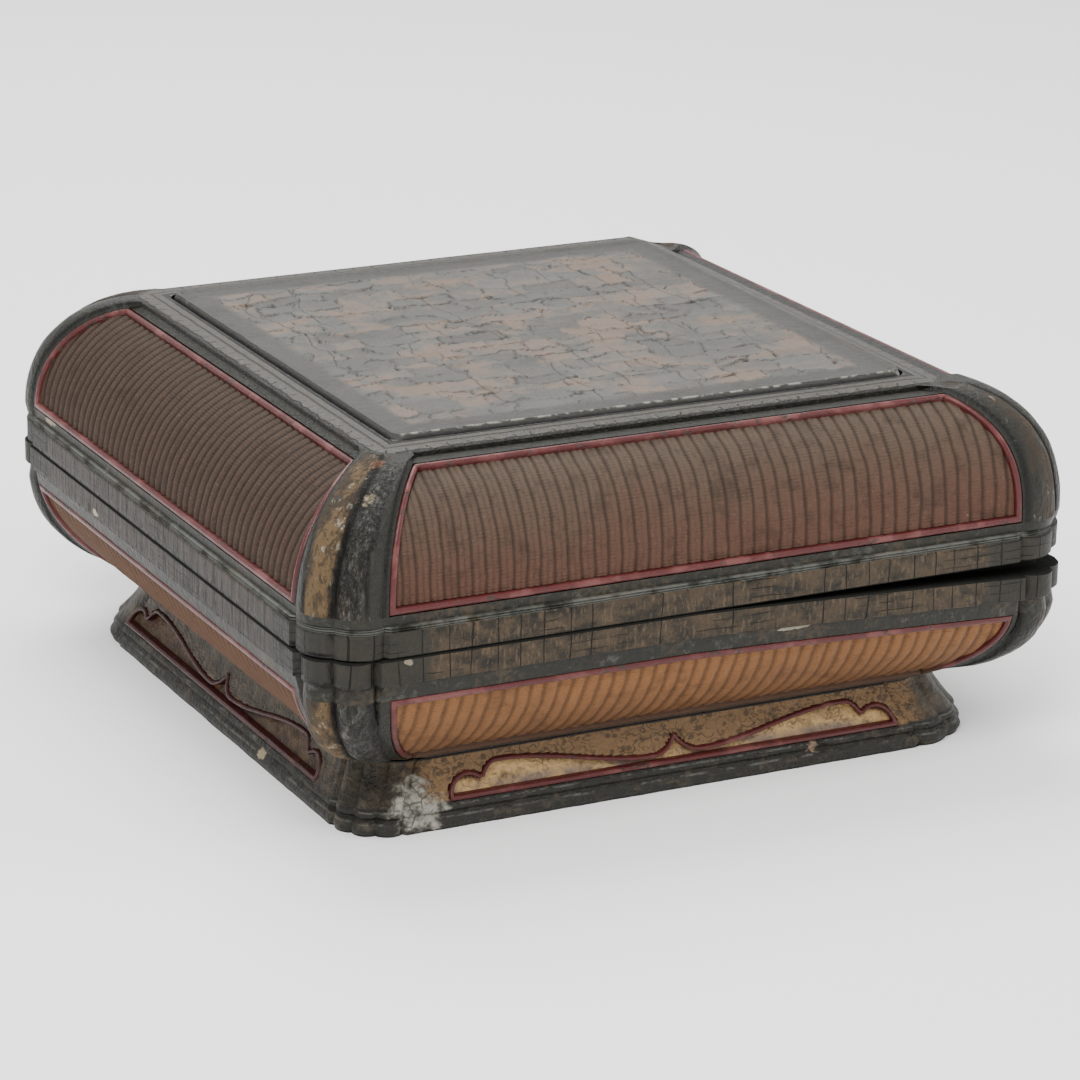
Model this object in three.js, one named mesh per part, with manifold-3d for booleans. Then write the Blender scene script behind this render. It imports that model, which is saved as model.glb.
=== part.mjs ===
// Square lacquer box: a lifted-off lid with swelling basketry sides, a base that narrows to its neck,
// and a flared foot with cusped panels. Millimetres, +Z up, the front faces -Y, origin on the ground
// under the middle of the foot. "Depth" is the distance from the middle of the box to a side.
import * as THREE from 'three';
import { mergeVertices } from 'three/addons/utils/BufferGeometryUtils.js';
import Module from 'manifold-3d';

const wasm = await Module();
wasm.setup();

// Overall sizes
const RIM_WIDTH = 300;
const PARTING_HEIGHT = 74;
const FIT_GAP = 0.3;
const RIM_HALF = RIM_WIDTH / 2;

// Foot: a hollow plinth with a concave flare above two reeds. Insets are measured from the rim.
const FOOT_HEIGHT = 23.4;
const FOOT_INSET = 21.5;
const FOOT_NECK_INSET = 31.5;
const FOOT_FLARE_INSET = 24;
const FOOT_FLARE_POWER = 1.4;
const FOOT_WALL = 8;
const REED_HEIGHTS = [5.2, 3.4];
const REED_GROOVE = 1.2;
// Corner radii run from the front right corner to the back right, back left and front left
const FOOT_CORNER = { radii: [30, 30, 36, 19], lobes: 3, groove: 1.6 };

// Cusped panel sunk in each face of the foot. Its drops are measured from its shoulder.
const CUSP_END_MARGIN = 28.7;
const CUSP_TOP_MARGIN = 3.3;
const CUSP_SILL = 0.4;
const CUSP_LOBE_WIDTH = 13.5;
const CUSP_NOTCH_WIDTH = 6;
const CUSP_WAIST_AT = 10;
const CUSP_POINT_DROP = 1.2;
const CUSP_END_DROP = 3.1;
const CUSP_NOTCH_DROP = 4.6;
const CUSP_WAIST_DROP = 7;
const CUSP_ROUNDING = 1;
const CUSP_DEPTH = 2.4;
const CUSP_BEAD_WIDTH = 1.5;
const CUSP_BEAD_PROUD = 0.5;

// Base: rim band, narrow strip, sunk basketry panel and neck. A swell starts at an inset from the
// rim and at a distance under the band, and its crown lies at a drop under the foot's top.
const BASE_BAND_HEIGHT = 9.3;
const BASE_SWELL_UNDER_BAND = 2.7;
const BASE_PANEL_FROM = 0.083;
const BASE_PANEL_TO = 0.9;
const BASE_SWELL = { inset: 2.5, reach: 45, drop: 2.6, squareness: 1.75 };
const BASE_POST_SWELL = { inset: 0.8, reach: 47, drop: 0.4, squareness: 2.2 };
const BASE_PANEL_END = { inset: 27.1, reach: 38, squareness: 2.2 };
const BASE_CORNER = { radii: [23, 23, 24, 21], lobes: 2, groove: 3.2 };
const BASE_INNER_SQUARENESS = 2.4;
const BASE_NECK_WALL = 12.5;
const FLOOR_THICKNESS = 6;
const FLOOR_SHELF = 7;
const FLOOR_SHELF_THICKNESS = 3.5;
const LIP_HEIGHT = 5;
const LIP_THICKNESS = 3;
const LIP_CLEARANCE = 0.5;

// The base's rim has sunk at the front right corner
const RIM_SAG = 5;
const RIM_SAG_LENGTH = 210;
const RIM_SAG_RETURN = 40;

// Lid: rim band, bead, sunk basketry panel, rail, ledge and raised top board
const LID_BAND_HEIGHT = 9;
const LID_BEAD_HEIGHT = 2.2;
const LID_SWELL_OVER_BEAD = 2.5;
const LID_PANEL_FROM = 0.013;
const LID_PANEL_TO = 0.955;
const LID_SWELL = { inset: 2, reach: 46 };
// The crown of each side lies at a rise over the ledge: the front is the fullest side, and the
// others have settled.
const LID_FRONT = { rise: 1.3, squareness: 2.75 };
const LID_RIGHT = { rise: 0.7, squareness: 2.4 };
const LID_BACK = { rise: -0.8, squareness: 2.15 };
const LID_LEFT = { rise: -1.6, squareness: 2.05 };
const LID_POST_PROUD = 1.8;
const LID_PANEL_END = { inset: 26, reach: 35, squareness: 2.6 };
const LID_CORNER = { radii: [26, 26, 27, 24], lobes: 2, groove: 1.8 };
const LID_WALL = 7.5;
const LID_INNER_SWELL = { rise: 2.2, squareness: 1.9 };
const LID_CROWN_THICKNESS = 8;
const LEDGE_ABOVE_PARTING = 59.3;
const LEDGE_INSET = 36.5;
const LEDGE_WIDTH = 11.5;
const LEDGE_STEP = 2;
const LEDGE_RISE = 0.5;
const LEDGE_CORNER = 14;
const TOP_BOARD_RISE = 2.7;
const TOP_BOARD_THICKNESS = 5.4;
const TOP_BOARD_CORNER = 6;
const TOP_BOARD_BEVEL = 0.9;
const TOP_SHELF = 7;

// The lid's right rail has sunk towards the back
const RAIL_SAG = 4.2;
const RAIL_SAG_WIDTH = 12;

// Basketry and the red fillets that hold it
const PANEL_RECESS = 3.8;
const BASKETRY_THICKNESS = 1.5;
const FILLET_WIDTH = 2.4;
const FILLET_PROUD = 0.4;
const BAND_PROUD = 1.4;

// How finely the curves are cut
const PANEL_STEPS = 7;
const INNER_STEPS = 5;
const LOBE_STEPS = 4;
const FLARE_STEPS = 4;
const CUSP_STEPS = 4;
const MITRE_LIMIT = 0.45;
const INNER_CORNER = 9;
const INNER_FACETS = 2;
const POST_RAMP = 1.5;
const LOBE_FULLNESS = 0.7;

const SIDES = ['front', 'right', 'back', 'left'];
const QUARTER_TURN = Math.PI / 2;

// Places that follow from the sizes
const FOOT_HALF = RIM_HALF - FOOT_INSET;
const FOOT_NECK_HALF = RIM_HALF - FOOT_NECK_INSET;
const FOOT_FLARE_HALF = RIM_HALF - FOOT_FLARE_INSET;
const FLOOR_HALF = FOOT_NECK_HALF - BASE_NECK_WALL;
const BASE_BAND_BOTTOM = PARTING_HEIGHT - BASE_BAND_HEIGHT;
const BASE_CENTRE = BASE_BAND_BOTTOM - BASE_SWELL_UNDER_BAND;
const LID_BOTTOM = PARTING_HEIGHT + FIT_GAP;
const LID_BAND_TOP = LID_BOTTOM + LID_BAND_HEIGHT;
const LID_CENTRE = PARTING_HEIGHT + LID_BAND_HEIGHT + LID_BEAD_HEIGHT + FIT_GAP + LID_SWELL_OVER_BEAD;
const LID_SWELL_RIM = RIM_HALF - LID_SWELL.inset;
const LEDGE_HALF = RIM_HALF - LEDGE_INSET;
const LEDGE_HEIGHT = PARTING_HEIGHT + LEDGE_ABOVE_PARTING;
const TOP_BOARD_HALF = LEDGE_HALF - LEDGE_WIDTH;
const TOP_BOARD_HEIGHT = LEDGE_HEIGHT + TOP_BOARD_RISE;

const COLOURS = {
  lacquer: { color: 0x34352f, roughness: 0.45, metalness: 0 },
  board: { color: 0x6d675d, roughness: 0.4, metalness: 0 },
  lidBasketry: { color: 0x5f4a3e, roughness: 0.75, metalness: 0 },
  baseBasketry: { color: 0x946438, roughness: 0.7, metalness: 0 },
  redLacquer: { color: 0x8c2c2c, roughness: 0.4, metalness: 0 },
};

const blend = (a, b, t) => a + (b - a) * t;
const clamp01 = (t) => Math.min(1, Math.max(0, t));
const smooth = (t) => clamp01(t) ** 2 * (3 - 2 * clamp01(t));

// Quarter of a superellipse: 1 at the rim (share 0) falling to 0 at the crown (share 1)
const swellAt = (share, squareness) => (1 - clamp01(share) ** squareness) ** (1 / squareness);

// Shares of the swell's height for the steps of a curve, closer together where it bends
const shares = (from, to, steps) => {
  const [start, end] = [Math.asin(from), Math.asin(to)];
  return Array.from({ length: steps + 1 }, (_, i) => Math.sin(blend(start, end, i / steps)));
};

// Point of a side's curve at a share of the swell's height: its depth, height and outward normal.
// sense is 1 where the swell closes upwards and -1 where it closes downwards.
function curvePoint(swell, sense, share) {
  const at = (t) => [
    swell.rim - swell.reach + swell.reach * swellAt(t, swell.squareness),
    swell.centre + sense * swell.height * t,
  ];
  const nudge = 0.002;
  const [depth, z] = at(share);
  const [ahead, behind] = [at(Math.min(share + nudge, 1)), at(Math.max(share - nudge, 0))];
  const run = new THREE.Vector2(ahead[0] - behind[0], ahead[1] - behind[1]).normalize();
  return { depth, z, normal: [sense * run.y, -sense * run.x] };
}

// Outline of one loop around the box, seen from above: four sides, each with the two edges of its
// panel, and four corners of rounded lobes. Posts may stand prouder and higher than the sides.
// Each side has its depth, height, half panel length and the depth and height of its posts, and
// may have the half length at which its posts start.
function outline(sides, corner, steps, recess = 0) {
  const points = [];
  sides.forEach((side, turn) => {
    const next = sides[(turn + 1) % sides.length];
    const radius = corner.radii ? corner.radii[turn] : corner.radius;
    const { depth, z, half, normal = [1, 0], postDepth = depth, postZ = z } = side;
    const { postDepth: nextPost = next.depth, postZ: nextZ = next.z } = next;
    const sunkDepth = depth - recess * normal[0];
    const sunkZ = z - recess * normal[1];
    const local = [[-half, -depth, z], [-half, -sunkDepth, sunkZ], [half, -sunkDepth, sunkZ], [half, -depth, z]];
    local.push([Math.max(half, Math.min(nextPost - radius - POST_RAMP, next.depth)), -depth, z]);
    const facets = corner.facets ?? steps;
    const across = Math.min(radius, nextPost - (side.postHalf ?? half) - POST_RAMP);
    const along = Math.min(radius, postDepth - (next.postHalf ?? next.half) - POST_RAMP);
    for (let i = 0; i <= steps; i += 1) {
      const angle = (QUARTER_TURN * Math.round((i * facets) / steps)) / facets;
      const wave = Math.abs(Math.sin(2 * (corner.lobes ?? 0) * angle)) ** LOBE_FULLNESS;
      const reach = 1 - ((corner.groove ?? 0) * (1 - wave)) / radius;
      local.push([
        nextPost - across + across * reach * Math.sin(angle),
        along - postDepth - along * reach * Math.cos(angle),
        blend(postZ, nextZ, i / steps),
      ]);
    }
    local.push([next.depth, -Math.max(next.half, Math.min(postDepth - radius - POST_RAMP, depth)), next.z]);
    const spin = turn * QUARTER_TURN;
    for (const [x, y, height] of local) {
      points.push([
        x * Math.cos(spin) - y * Math.sin(spin),
        x * Math.sin(spin) + y * Math.cos(spin),
        height,
      ]);
    }
  });
  return points;
}

// The same outline with four alike sides at one height
function squareOutline(depth, z, corner, steps, more = {}) {
  const radius = corner.radii ? Math.max(...corner.radii) : corner.radius;
  const half = Math.min(more.half ?? depth, depth - radius - 2 * POST_RAMP);
  return outline(SIDES.map(() => ({ depth, z, ...more, half })), corner, steps);
}

// Closed geometry from vertices and faces; vertices in one place become one, and faces that
// shrink to a line are dropped.
function closedGeometry(vertices, faces) {
  const raw = new THREE.BufferGeometry();
  raw.setAttribute('position', new THREE.Float32BufferAttribute(vertices.flat(), 3));
  raw.setIndex(faces.flat());
  const merged = mergeVertices(raw, 1e-4);
  const index = merged.getIndex().array;
  const kept = [];
  for (let i = 0; i < index.length; i += 3) {
    const [a, b, c] = [index[i], index[i + 1], index[i + 2]];
    if (a !== b && b !== c && c !== a) kept.push(a, b, c);
  }
  merged.setIndex(kept);
  return merged;
}

// Skin over a list of loops with the same number of points. Each loop closes on itself, and the
// last loop joins the first, which makes a ring.
function ringGeometry(loops) {
  const count = loops[0].length;
  const faces = [];
  loops.forEach((loop, row) => {
    const next = ((row + 1) % loops.length) * count;
    const here = row * count;
    for (let i = 0; i < count; i += 1) {
      const j = (i + 1) % count;
      faces.push([here + i, here + j, next + j], [here + i, next + j, next + i]);
    }
  });
  return closedGeometry(loops.flat(), faces);
}

// Solid between two matching loops, each closed by its own triangulated face. The loops are flat
// enough to be cut into triangles by their x and z.
function prismGeometry(outer, inner) {
  const flat = outer.map(([x, , z]) => new THREE.Vector2(x, z));
  const caps = THREE.ShapeUtils.triangulateShape(flat, []);
  const count = outer.length;
  const faces = [];
  for (const [a, b, c] of caps) {
    faces.push([a, b, c], [count + a, count + c, count + b]);
  }
  for (let i = 0; i < count; i += 1) {
    const j = (i + 1) % count;
    faces.push([i, count + i, count + j], [i, count + j, j]);
  }
  return closedGeometry([...outer, ...inner], faces);
}

function toSolid(geometry) {
  const position = new THREE.BufferGeometry();
  position.setAttribute('position', geometry.getAttribute('position').clone());
  position.setIndex(geometry.getIndex().clone());
  const merged = mergeVertices(position, 1e-4);
  return new wasm.Manifold(new wasm.Mesh({
    numProp: 3,
    vertProperties: new Float32Array(merged.getAttribute('position').array),
    triVerts: new Uint32Array(merged.getIndex().array),
  }));
}

function toGeometry(solid) {
  const mesh = solid.getMesh();
  const geometry = new THREE.BufferGeometry();
  geometry.setAttribute('position', new THREE.BufferAttribute(new Float32Array(mesh.vertProperties), 3));
  geometry.setIndex(new THREE.BufferAttribute(new Uint32Array(mesh.triVerts), 1));
  return geometry;
}

// The base's rim sinks towards the front right corner and comes back soon along the right side.
// The sag fades out down the basketry.
function sag(geometry) {
  const position = geometry.getAttribute('position');
  for (let i = 0; i < position.count; i += 1) {
    const [x, y, z] = [position.getX(i), position.getY(i), position.getZ(i)];
    const run = clamp01((x + RIM_SAG_LENGTH - RIM_HALF) / RIM_SAG_LENGTH) ** 2;
    const innerFace = RIM_HALF - BASE_CORNER.radii[0];
    const back = 1 - smooth((y + innerFace) / RIM_SAG_RETURN);
    const fade = 1 - smooth((BASE_CENTRE - z) / (BASE_PANEL_TO * baseSwell.height));
    position.setZ(i, z - RIM_SAG * run * back * fade);
  }
  return geometry;
}

// The lid's right shoulder sinks towards the back, and not at all at the rim
function settle(geometry) {
  const position = geometry.getAttribute('position');
  for (let i = 0; i < position.count; i += 1) {
    const [x, y, z] = [position.getX(i), position.getY(i), position.getZ(i)];
    const back = clamp01((y + RIM_HALF) / (RIM_HALF + LEDGE_HALF));
    const out = clamp01((x - TOP_BOARD_HALF) / RAIL_SAG_WIDTH);
    const fade = clamp01((z - LID_CENTRE) / (LEDGE_HEIGHT + LID_RIGHT.rise - LID_CENTRE));
    position.setZ(i, z - RAIL_SAG * back * out * fade);
  }
  return geometry;
}

// Basketry panels: the border of a panel is followed through its corners and curved ends
function panelShape(curve) {
  // Point at curve step i, on side -1 or 1, drawn in from the border by inset and raised off the
  // frame's surface by lift. At the two ends the inset also runs along the curve.
  const borderPoint = (i, hand, inset, lift) => {
    const { depth, z, normal, half } = curve[i];
    const last = curve.length - 1;
    let slide = 0;
    if (i === 0) slide = inset;
    if (i === last) slide = -inset;
    const toUp = Math.sign(curve[last].z - curve[0].z);
    return [
      hand * (half - inset),
      -(depth + lift * normal[0] - toUp * slide * normal[1]),
      z + lift * normal[1] + toUp * slide * normal[0],
    ];
  };
  const around = curve.map((_, i) => [i, 1]);
  const back = curve.map((_, i) => [curve.length - 1 - i, -1]);
  return { borderPoint, stations: [...around, ...back], upwards: curve[curve.length - 1].z > curve[0].z };
}

function filletGeometry(shape) {
  const inner = FIT_GAP + FILLET_WIDTH;
  const floor = FIT_GAP - PANEL_RECESS;
  const section = [[FIT_GAP, floor], [FIT_GAP, FILLET_PROUD], [inner, FILLET_PROUD], [inner, floor]];
  const loops = section.map(([inset, lift]) => shape.stations.map(
    ([i, hand]) => shape.borderPoint(i, hand, inset, lift),
  ));
  return ringGeometry(shape.upwards ? loops : loops.reverse());
}

function basketryGeometry(shape) {
  const inset = 2 * FIT_GAP + FILLET_WIDTH;
  const floor = FIT_GAP - PANEL_RECESS;
  const top = floor + BASKETRY_THICKNESS;
  const count = shape.stations.length;
  const rows = count / 2;
  const vertices = [top, floor].flatMap((lift) => shape.stations.map(
    ([i, hand]) => shape.borderPoint(i, hand, inset, lift),
  ));
  const faces = [];
  for (let i = 0; i < rows - 1; i += 1) {
    const [a, b] = [i, i + 1];
    const [c, d] = [count - 2 - i, count - 1 - i];
    faces.push([a, b, c], [a, c, d]);
    faces.push([count + a, count + c, count + b], [count + a, count + d, count + c]);
  }
  for (let i = 0; i < count; i += 1) {
    const j = (i + 1) % count;
    faces.push([i, count + i, count + j], [i, count + j, j]);
  }
  const turned = shape.upwards ? faces : faces.map(([a, b, c]) => [a, c, b]);
  return closedGeometry(vertices, turned);
}

// Lid
const lidShares = shares(LID_PANEL_FROM, LID_PANEL_TO, PANEL_STEPS);
const panelEnd = (end, share) => RIM_HALF - end.inset - end.reach * (1 - swellAt(share, end.squareness));
const lidCurves = [LID_FRONT, LID_RIGHT, LID_BACK, LID_LEFT].map(({ rise, squareness }) => {
  const height = LEDGE_HEIGHT + rise - LID_CENTRE;
  const swell = { rim: LID_SWELL_RIM, reach: LID_SWELL.reach, centre: LID_CENTRE, height, squareness };
  const postSwell = {
    ...swell, rim: swell.rim + LID_POST_PROUD, height: swell.height + LID_POST_PROUD,
  };
  return lidShares.map((share) => {
    const post = curvePoint(postSwell, 1, share);
    return {
      ...curvePoint(swell, 1, share), half: panelEnd(LID_PANEL_END, share), postDepth: post.depth, postZ: post.z,
    };
  });
});

function lidFrameGeometry() {
  const steps = LOBE_STEPS * LID_CORNER.lobes;
  const flat = (depth, z, corner, more) => squareOutline(depth, z, corner, steps, more);
  const sunk = (i, recess) => outline(lidCurves.map((curve) => curve[i]), LID_CORNER, steps, recess);
  const rimPost = { postDepth: LID_SWELL_RIM + LID_POST_PROUD };
  const loops = [
    flat(RIM_HALF, LID_BOTTOM, LID_CORNER),
    flat(RIM_HALF, LID_BAND_TOP, LID_CORNER),
    flat(RIM_HALF - BAND_PROUD, LID_BAND_TOP + FIT_GAP, LID_CORNER),
    flat(RIM_HALF, LID_BAND_TOP + LID_BEAD_HEIGHT / 2, LID_CORNER),
    flat(LID_SWELL_RIM, LID_BAND_TOP + LID_BEAD_HEIGHT, LID_CORNER, rimPost),
  ];
  loops.push(sunk(0, 0));
  lidShares.forEach((_, i) => loops.push(sunk(i, PANEL_RECESS)));
  loops.push(sunk(PANEL_STEPS, 0));
  const seatHalf = TOP_BOARD_HALF + FIT_GAP;
  const seatHeight = TOP_BOARD_HEIGHT - TOP_BOARD_THICKNESS - FIT_GAP;
  const crown = seatHeight - LID_CROWN_THICKNESS;
  const ledgeCorner = { radius: LEDGE_CORNER };
  const boardCorner = { radius: TOP_BOARD_CORNER + FIT_GAP, facets: LOBE_STEPS };
  loops.push(outline(lidCurves.map((curve) => ({
    depth: LEDGE_HALF, z: LEDGE_HEIGHT - LEDGE_STEP, half: LEDGE_HALF - LEDGE_CORNER - 2 * POST_RAMP,
    postDepth: blend(LEDGE_HALF, curve[PANEL_STEPS].postDepth, 0.4),
    postZ: blend(LEDGE_HEIGHT, curve[PANEL_STEPS].postZ, 0.4),
  })), ledgeCorner, steps));
  loops.push(flat(LEDGE_HALF, LEDGE_HEIGHT, ledgeCorner));
  loops.push(flat(seatHalf, LEDGE_HEIGHT + LEDGE_RISE, boardCorner));
  loops.push(flat(seatHalf, seatHeight, boardCorner));
  const innerCorner = { radius: INNER_CORNER, facets: INNER_FACETS };
  const shelfCorner = { radius: TOP_BOARD_CORNER, facets: INNER_FACETS };
  loops.push(flat(seatHalf - TOP_SHELF, seatHeight, shelfCorner));
  loops.push(flat(seatHalf - TOP_SHELF, crown, shelfCorner));
  const innerHalf = LID_SWELL_RIM - LID_WALL;
  const innerSwell = {
    rim: innerHalf, reach: LID_SWELL.reach - LID_WALL, centre: LID_CENTRE,
    height: crown + LID_INNER_SWELL.rise - LID_CENTRE, squareness: LID_INNER_SWELL.squareness,
  };
  const crownShare = (crown - innerSwell.centre) / innerSwell.height;
  shares(0, crownShare, INNER_STEPS).reverse().forEach((share) => {
    const { depth, z } = curvePoint(innerSwell, 1, share);
    loops.push(flat(depth, z, innerCorner));
  });
  loops.push(flat(innerHalf, LID_BOTTOM, innerCorner));
  return settle(ringGeometry(loops));
}

function topBoardGeometry() {
  const corner = { radius: TOP_BOARD_CORNER };
  const steps = LOBE_STEPS;
  const level = (depth, z) => squareOutline(depth, z, corner, steps);
  const under = TOP_BOARD_HEIGHT - TOP_BOARD_THICKNESS;
  const loops = [
    level(TOP_BOARD_HALF, under),
    level(TOP_BOARD_HALF, TOP_BOARD_HEIGHT - TOP_BOARD_BEVEL),
    level(TOP_BOARD_HALF - TOP_BOARD_BEVEL, TOP_BOARD_HEIGHT),
  ];
  return cappedGeometry(loops);
}

// Board or block: loops stacked upwards, closed by a flat face below and above
function cappedGeometry(loops) {
  const count = loops[0].length;
  const faces = [];
  for (let row = 0; row + 1 < loops.length; row += 1) {
    for (let i = 0; i < count; i += 1) {
      const [here, next] = [row * count, (row + 1) * count];
      const j = (i + 1) % count;
      faces.push([here + i, here + j, next + j], [here + i, next + j, next + i]);
    }
  }
  const vertices = loops.flat();
  const below = vertices.length;
  vertices.push([0, 0, loops[0][0][2]], [0, 0, loops[loops.length - 1][0][2]]);
  const top = (loops.length - 1) * count;
  for (let i = 0; i < count; i += 1) {
    const j = (i + 1) % count;
    faces.push([below, j, i], [below + 1, top + i, top + j]);
  }
  return closedGeometry(vertices, faces);
}

// Base
const baseShares = shares(BASE_PANEL_FROM, BASE_PANEL_TO, PANEL_STEPS);
const [baseSwell, basePostSwell] = [BASE_SWELL, BASE_POST_SWELL].map(({ inset, reach, drop, squareness }) => (
  { rim: RIM_HALF - inset, reach, centre: BASE_CENTRE, height: BASE_CENTRE - FOOT_HEIGHT + drop, squareness }
));
// The posts stand well proud of the panels low down, so there they start where the panel's curved
// end passes at the post's depth. Their toes come back flush with the neck.
const baseCurve = baseShares.map((share, i) => {
  const side = curvePoint(baseSwell, -1, share);
  const half = panelEnd(BASE_PANEL_END, share);
  if (i === PANEL_STEPS) return { ...side, half };
  const post = curvePoint(basePostSwell, -1, share);
  const { rim, reach, squareness } = baseSwell;
  const besidePost = swellAt((post.depth - rim + reach) / reach, squareness);
  return {
    ...side, half, postDepth: post.depth, postZ: post.z, postHalf: panelEnd(BASE_PANEL_END, besidePost),
  };
});
const BASE_BOTTOM = FOOT_HEIGHT + FIT_GAP;
const LIP_OUTER = LID_SWELL_RIM - LID_WALL - LIP_CLEARANCE;
const FLOOR_UNDER = BASE_BOTTOM + FLOOR_SHELF_THICKNESS + FIT_GAP;

function baseFrameGeometry() {
  const steps = LOBE_STEPS * BASE_CORNER.lobes;
  const flat = (depth, z, corner, more) => squareOutline(depth, z, corner, steps, more);
  const innerCorner = { radius: INNER_CORNER, facets: INNER_FACETS };
  const lipInner = LIP_OUTER - LIP_THICKNESS;
  const seatHalf = FLOOR_HALF + FIT_GAP;
  const floorTop = FLOOR_UNDER + FLOOR_THICKNESS;
  const innerSwell = {
    rim: lipInner, reach: lipInner - seatHalf, centre: BASE_CENTRE,
    height: BASE_CENTRE - floorTop - FIT_GAP, squareness: BASE_INNER_SQUARENESS,
  };
  const sunk = (i, recess) => outline(SIDES.map(() => baseCurve[i]), BASE_CORNER, steps, recess);
  const neckCorner = { ...BASE_CORNER, groove: FOOT_CORNER.groove };
  // Upwards: out from the neck, over the panel and bands to the rim, then down inside
  const loops = [flat(FOOT_NECK_HALF, BASE_BOTTOM, neckCorner)];
  loops.push(sunk(PANEL_STEPS, 0));
  for (let i = PANEL_STEPS; i >= 0; i -= 1) loops.push(sunk(i, PANEL_RECESS));
  loops.push(sunk(0, 0));
  loops.push(flat(RIM_HALF - BAND_PROUD, BASE_BAND_BOTTOM - FIT_GAP, BASE_CORNER));
  loops.push(flat(RIM_HALF, BASE_BAND_BOTTOM, BASE_CORNER));
  loops.push(flat(RIM_HALF, PARTING_HEIGHT, BASE_CORNER));
  loops.push(flat(LIP_OUTER, PARTING_HEIGHT, innerCorner));
  loops.push(flat(LIP_OUTER, PARTING_HEIGHT + LIP_HEIGHT, innerCorner));
  loops.push(flat(lipInner, PARTING_HEIGHT + LIP_HEIGHT, innerCorner));
  shares(0, 1, INNER_STEPS).forEach((share) => {
    const { depth, z } = curvePoint(innerSwell, -1, share);
    loops.push(flat(depth, z, innerCorner));
  });
  loops.push(flat(seatHalf, FLOOR_UNDER - FIT_GAP, innerCorner));
  loops.push(flat(seatHalf - FLOOR_SHELF, FLOOR_UNDER - FIT_GAP, innerCorner));
  loops.push(flat(seatHalf - FLOOR_SHELF, BASE_BOTTOM, innerCorner));
  return sag(ringGeometry(loops));
}

function floorGeometry() {
  const corner = { radius: INNER_CORNER, facets: INNER_FACETS };
  const level = (z) => squareOutline(FLOOR_HALF, z, corner, LOBE_STEPS);
  return cappedGeometry([level(FLOOR_UNDER), level(FLOOR_UNDER + FLOOR_THICKNESS)]);
}

// Foot
const REEDS_TOP = REED_HEIGHTS.reduce((sum, height) => sum + height, 0);

function footDepth(z) {
  const down = clamp01((FOOT_HEIGHT - z) / (FOOT_HEIGHT - REEDS_TOP));
  return blend(FOOT_NECK_HALF, FOOT_FLARE_HALF, down ** FOOT_FLARE_POWER);
}

// Upper edge of the cusped panel as height above its sill, from the middle point to the end
function cuspOutline() {
  const sill = REEDS_TOP + CUSP_SILL;
  const end = FOOT_NECK_HALF - CUSP_END_MARGIN;
  const notch = end - CUSP_LOBE_WIDTH;
  const shoulder = notch - CUSP_NOTCH_WIDTH;
  const top = FOOT_HEIGHT - sill - CUSP_TOP_MARGIN;
  const [pointTop, endTop, notchTop] = [top - CUSP_POINT_DROP, top - CUSP_END_DROP, top - CUSP_NOTCH_DROP];
  const waistTop = top - CUSP_WAIST_DROP;
  const spikeCurve = new THREE.QuadraticBezierCurve(
    new THREE.Vector2(0, pointTop),
    new THREE.Vector2(CUSP_WAIST_AT * 0.3, waistTop),
    new THREE.Vector2(CUSP_WAIST_AT, waistTop),
  );
  const slopeCurve = new THREE.CubicBezierCurve(
    new THREE.Vector2(CUSP_WAIST_AT, waistTop),
    new THREE.Vector2(blend(CUSP_WAIST_AT, shoulder, 0.35), waistTop),
    new THREE.Vector2(blend(CUSP_WAIST_AT, shoulder, 0.8), top),
    new THREE.Vector2(shoulder, top),
  );
  const shoulderCurve = new THREE.QuadraticBezierCurve(
    new THREE.Vector2(shoulder, top),
    new THREE.Vector2(notch - CUSP_ROUNDING, top),
    new THREE.Vector2(notch, notchTop),
  );
  const lobeCurve = new THREE.CubicBezierCurve(
    new THREE.Vector2(notch, notchTop),
    new THREE.Vector2(blend(notch, end, 0.4), endTop + CUSP_ROUNDING),
    new THREE.Vector2(end, endTop),
    new THREE.Vector2(end, 0),
  );
  const edge = [spikeCurve, slopeCurve, shoulderCurve, lobeCurve].flatMap((curve, k) => (
    curve.getPoints(CUSP_STEPS).slice(k === 0 ? 0 : 1)
  ));
  const right = edge.map(({ x, y }) => [x, sill + y]);
  const left = right.slice(1).map(([x, z]) => [-x, z]);
  return [...right.reverse(), ...left];
}

// An anticlockwise outline drawn in by a distance, mitred at its corners
function drawnIn(points, distance) {
  return points.map((point, i) => {
    const here = new THREE.Vector2(...point);
    const before = new THREE.Vector2(...points[(i + points.length - 1) % points.length]);
    const after = new THREE.Vector2(...points[(i + 1) % points.length]);
    const inWay = here.clone().sub(before).normalize();
    const outWay = after.clone().sub(here).normalize();
    const normal = new THREE.Vector2(-inWay.y - outWay.y, inWay.x + outWay.x).normalize();
    const mitre = Math.max(MITRE_LIMIT, normal.y * inWay.x - normal.x * inWay.y);
    return [here.x + (normal.x * distance) / mitre, here.y + (normal.y * distance) / mitre];
  });
}

const cuspEdge = cuspOutline();

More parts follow.
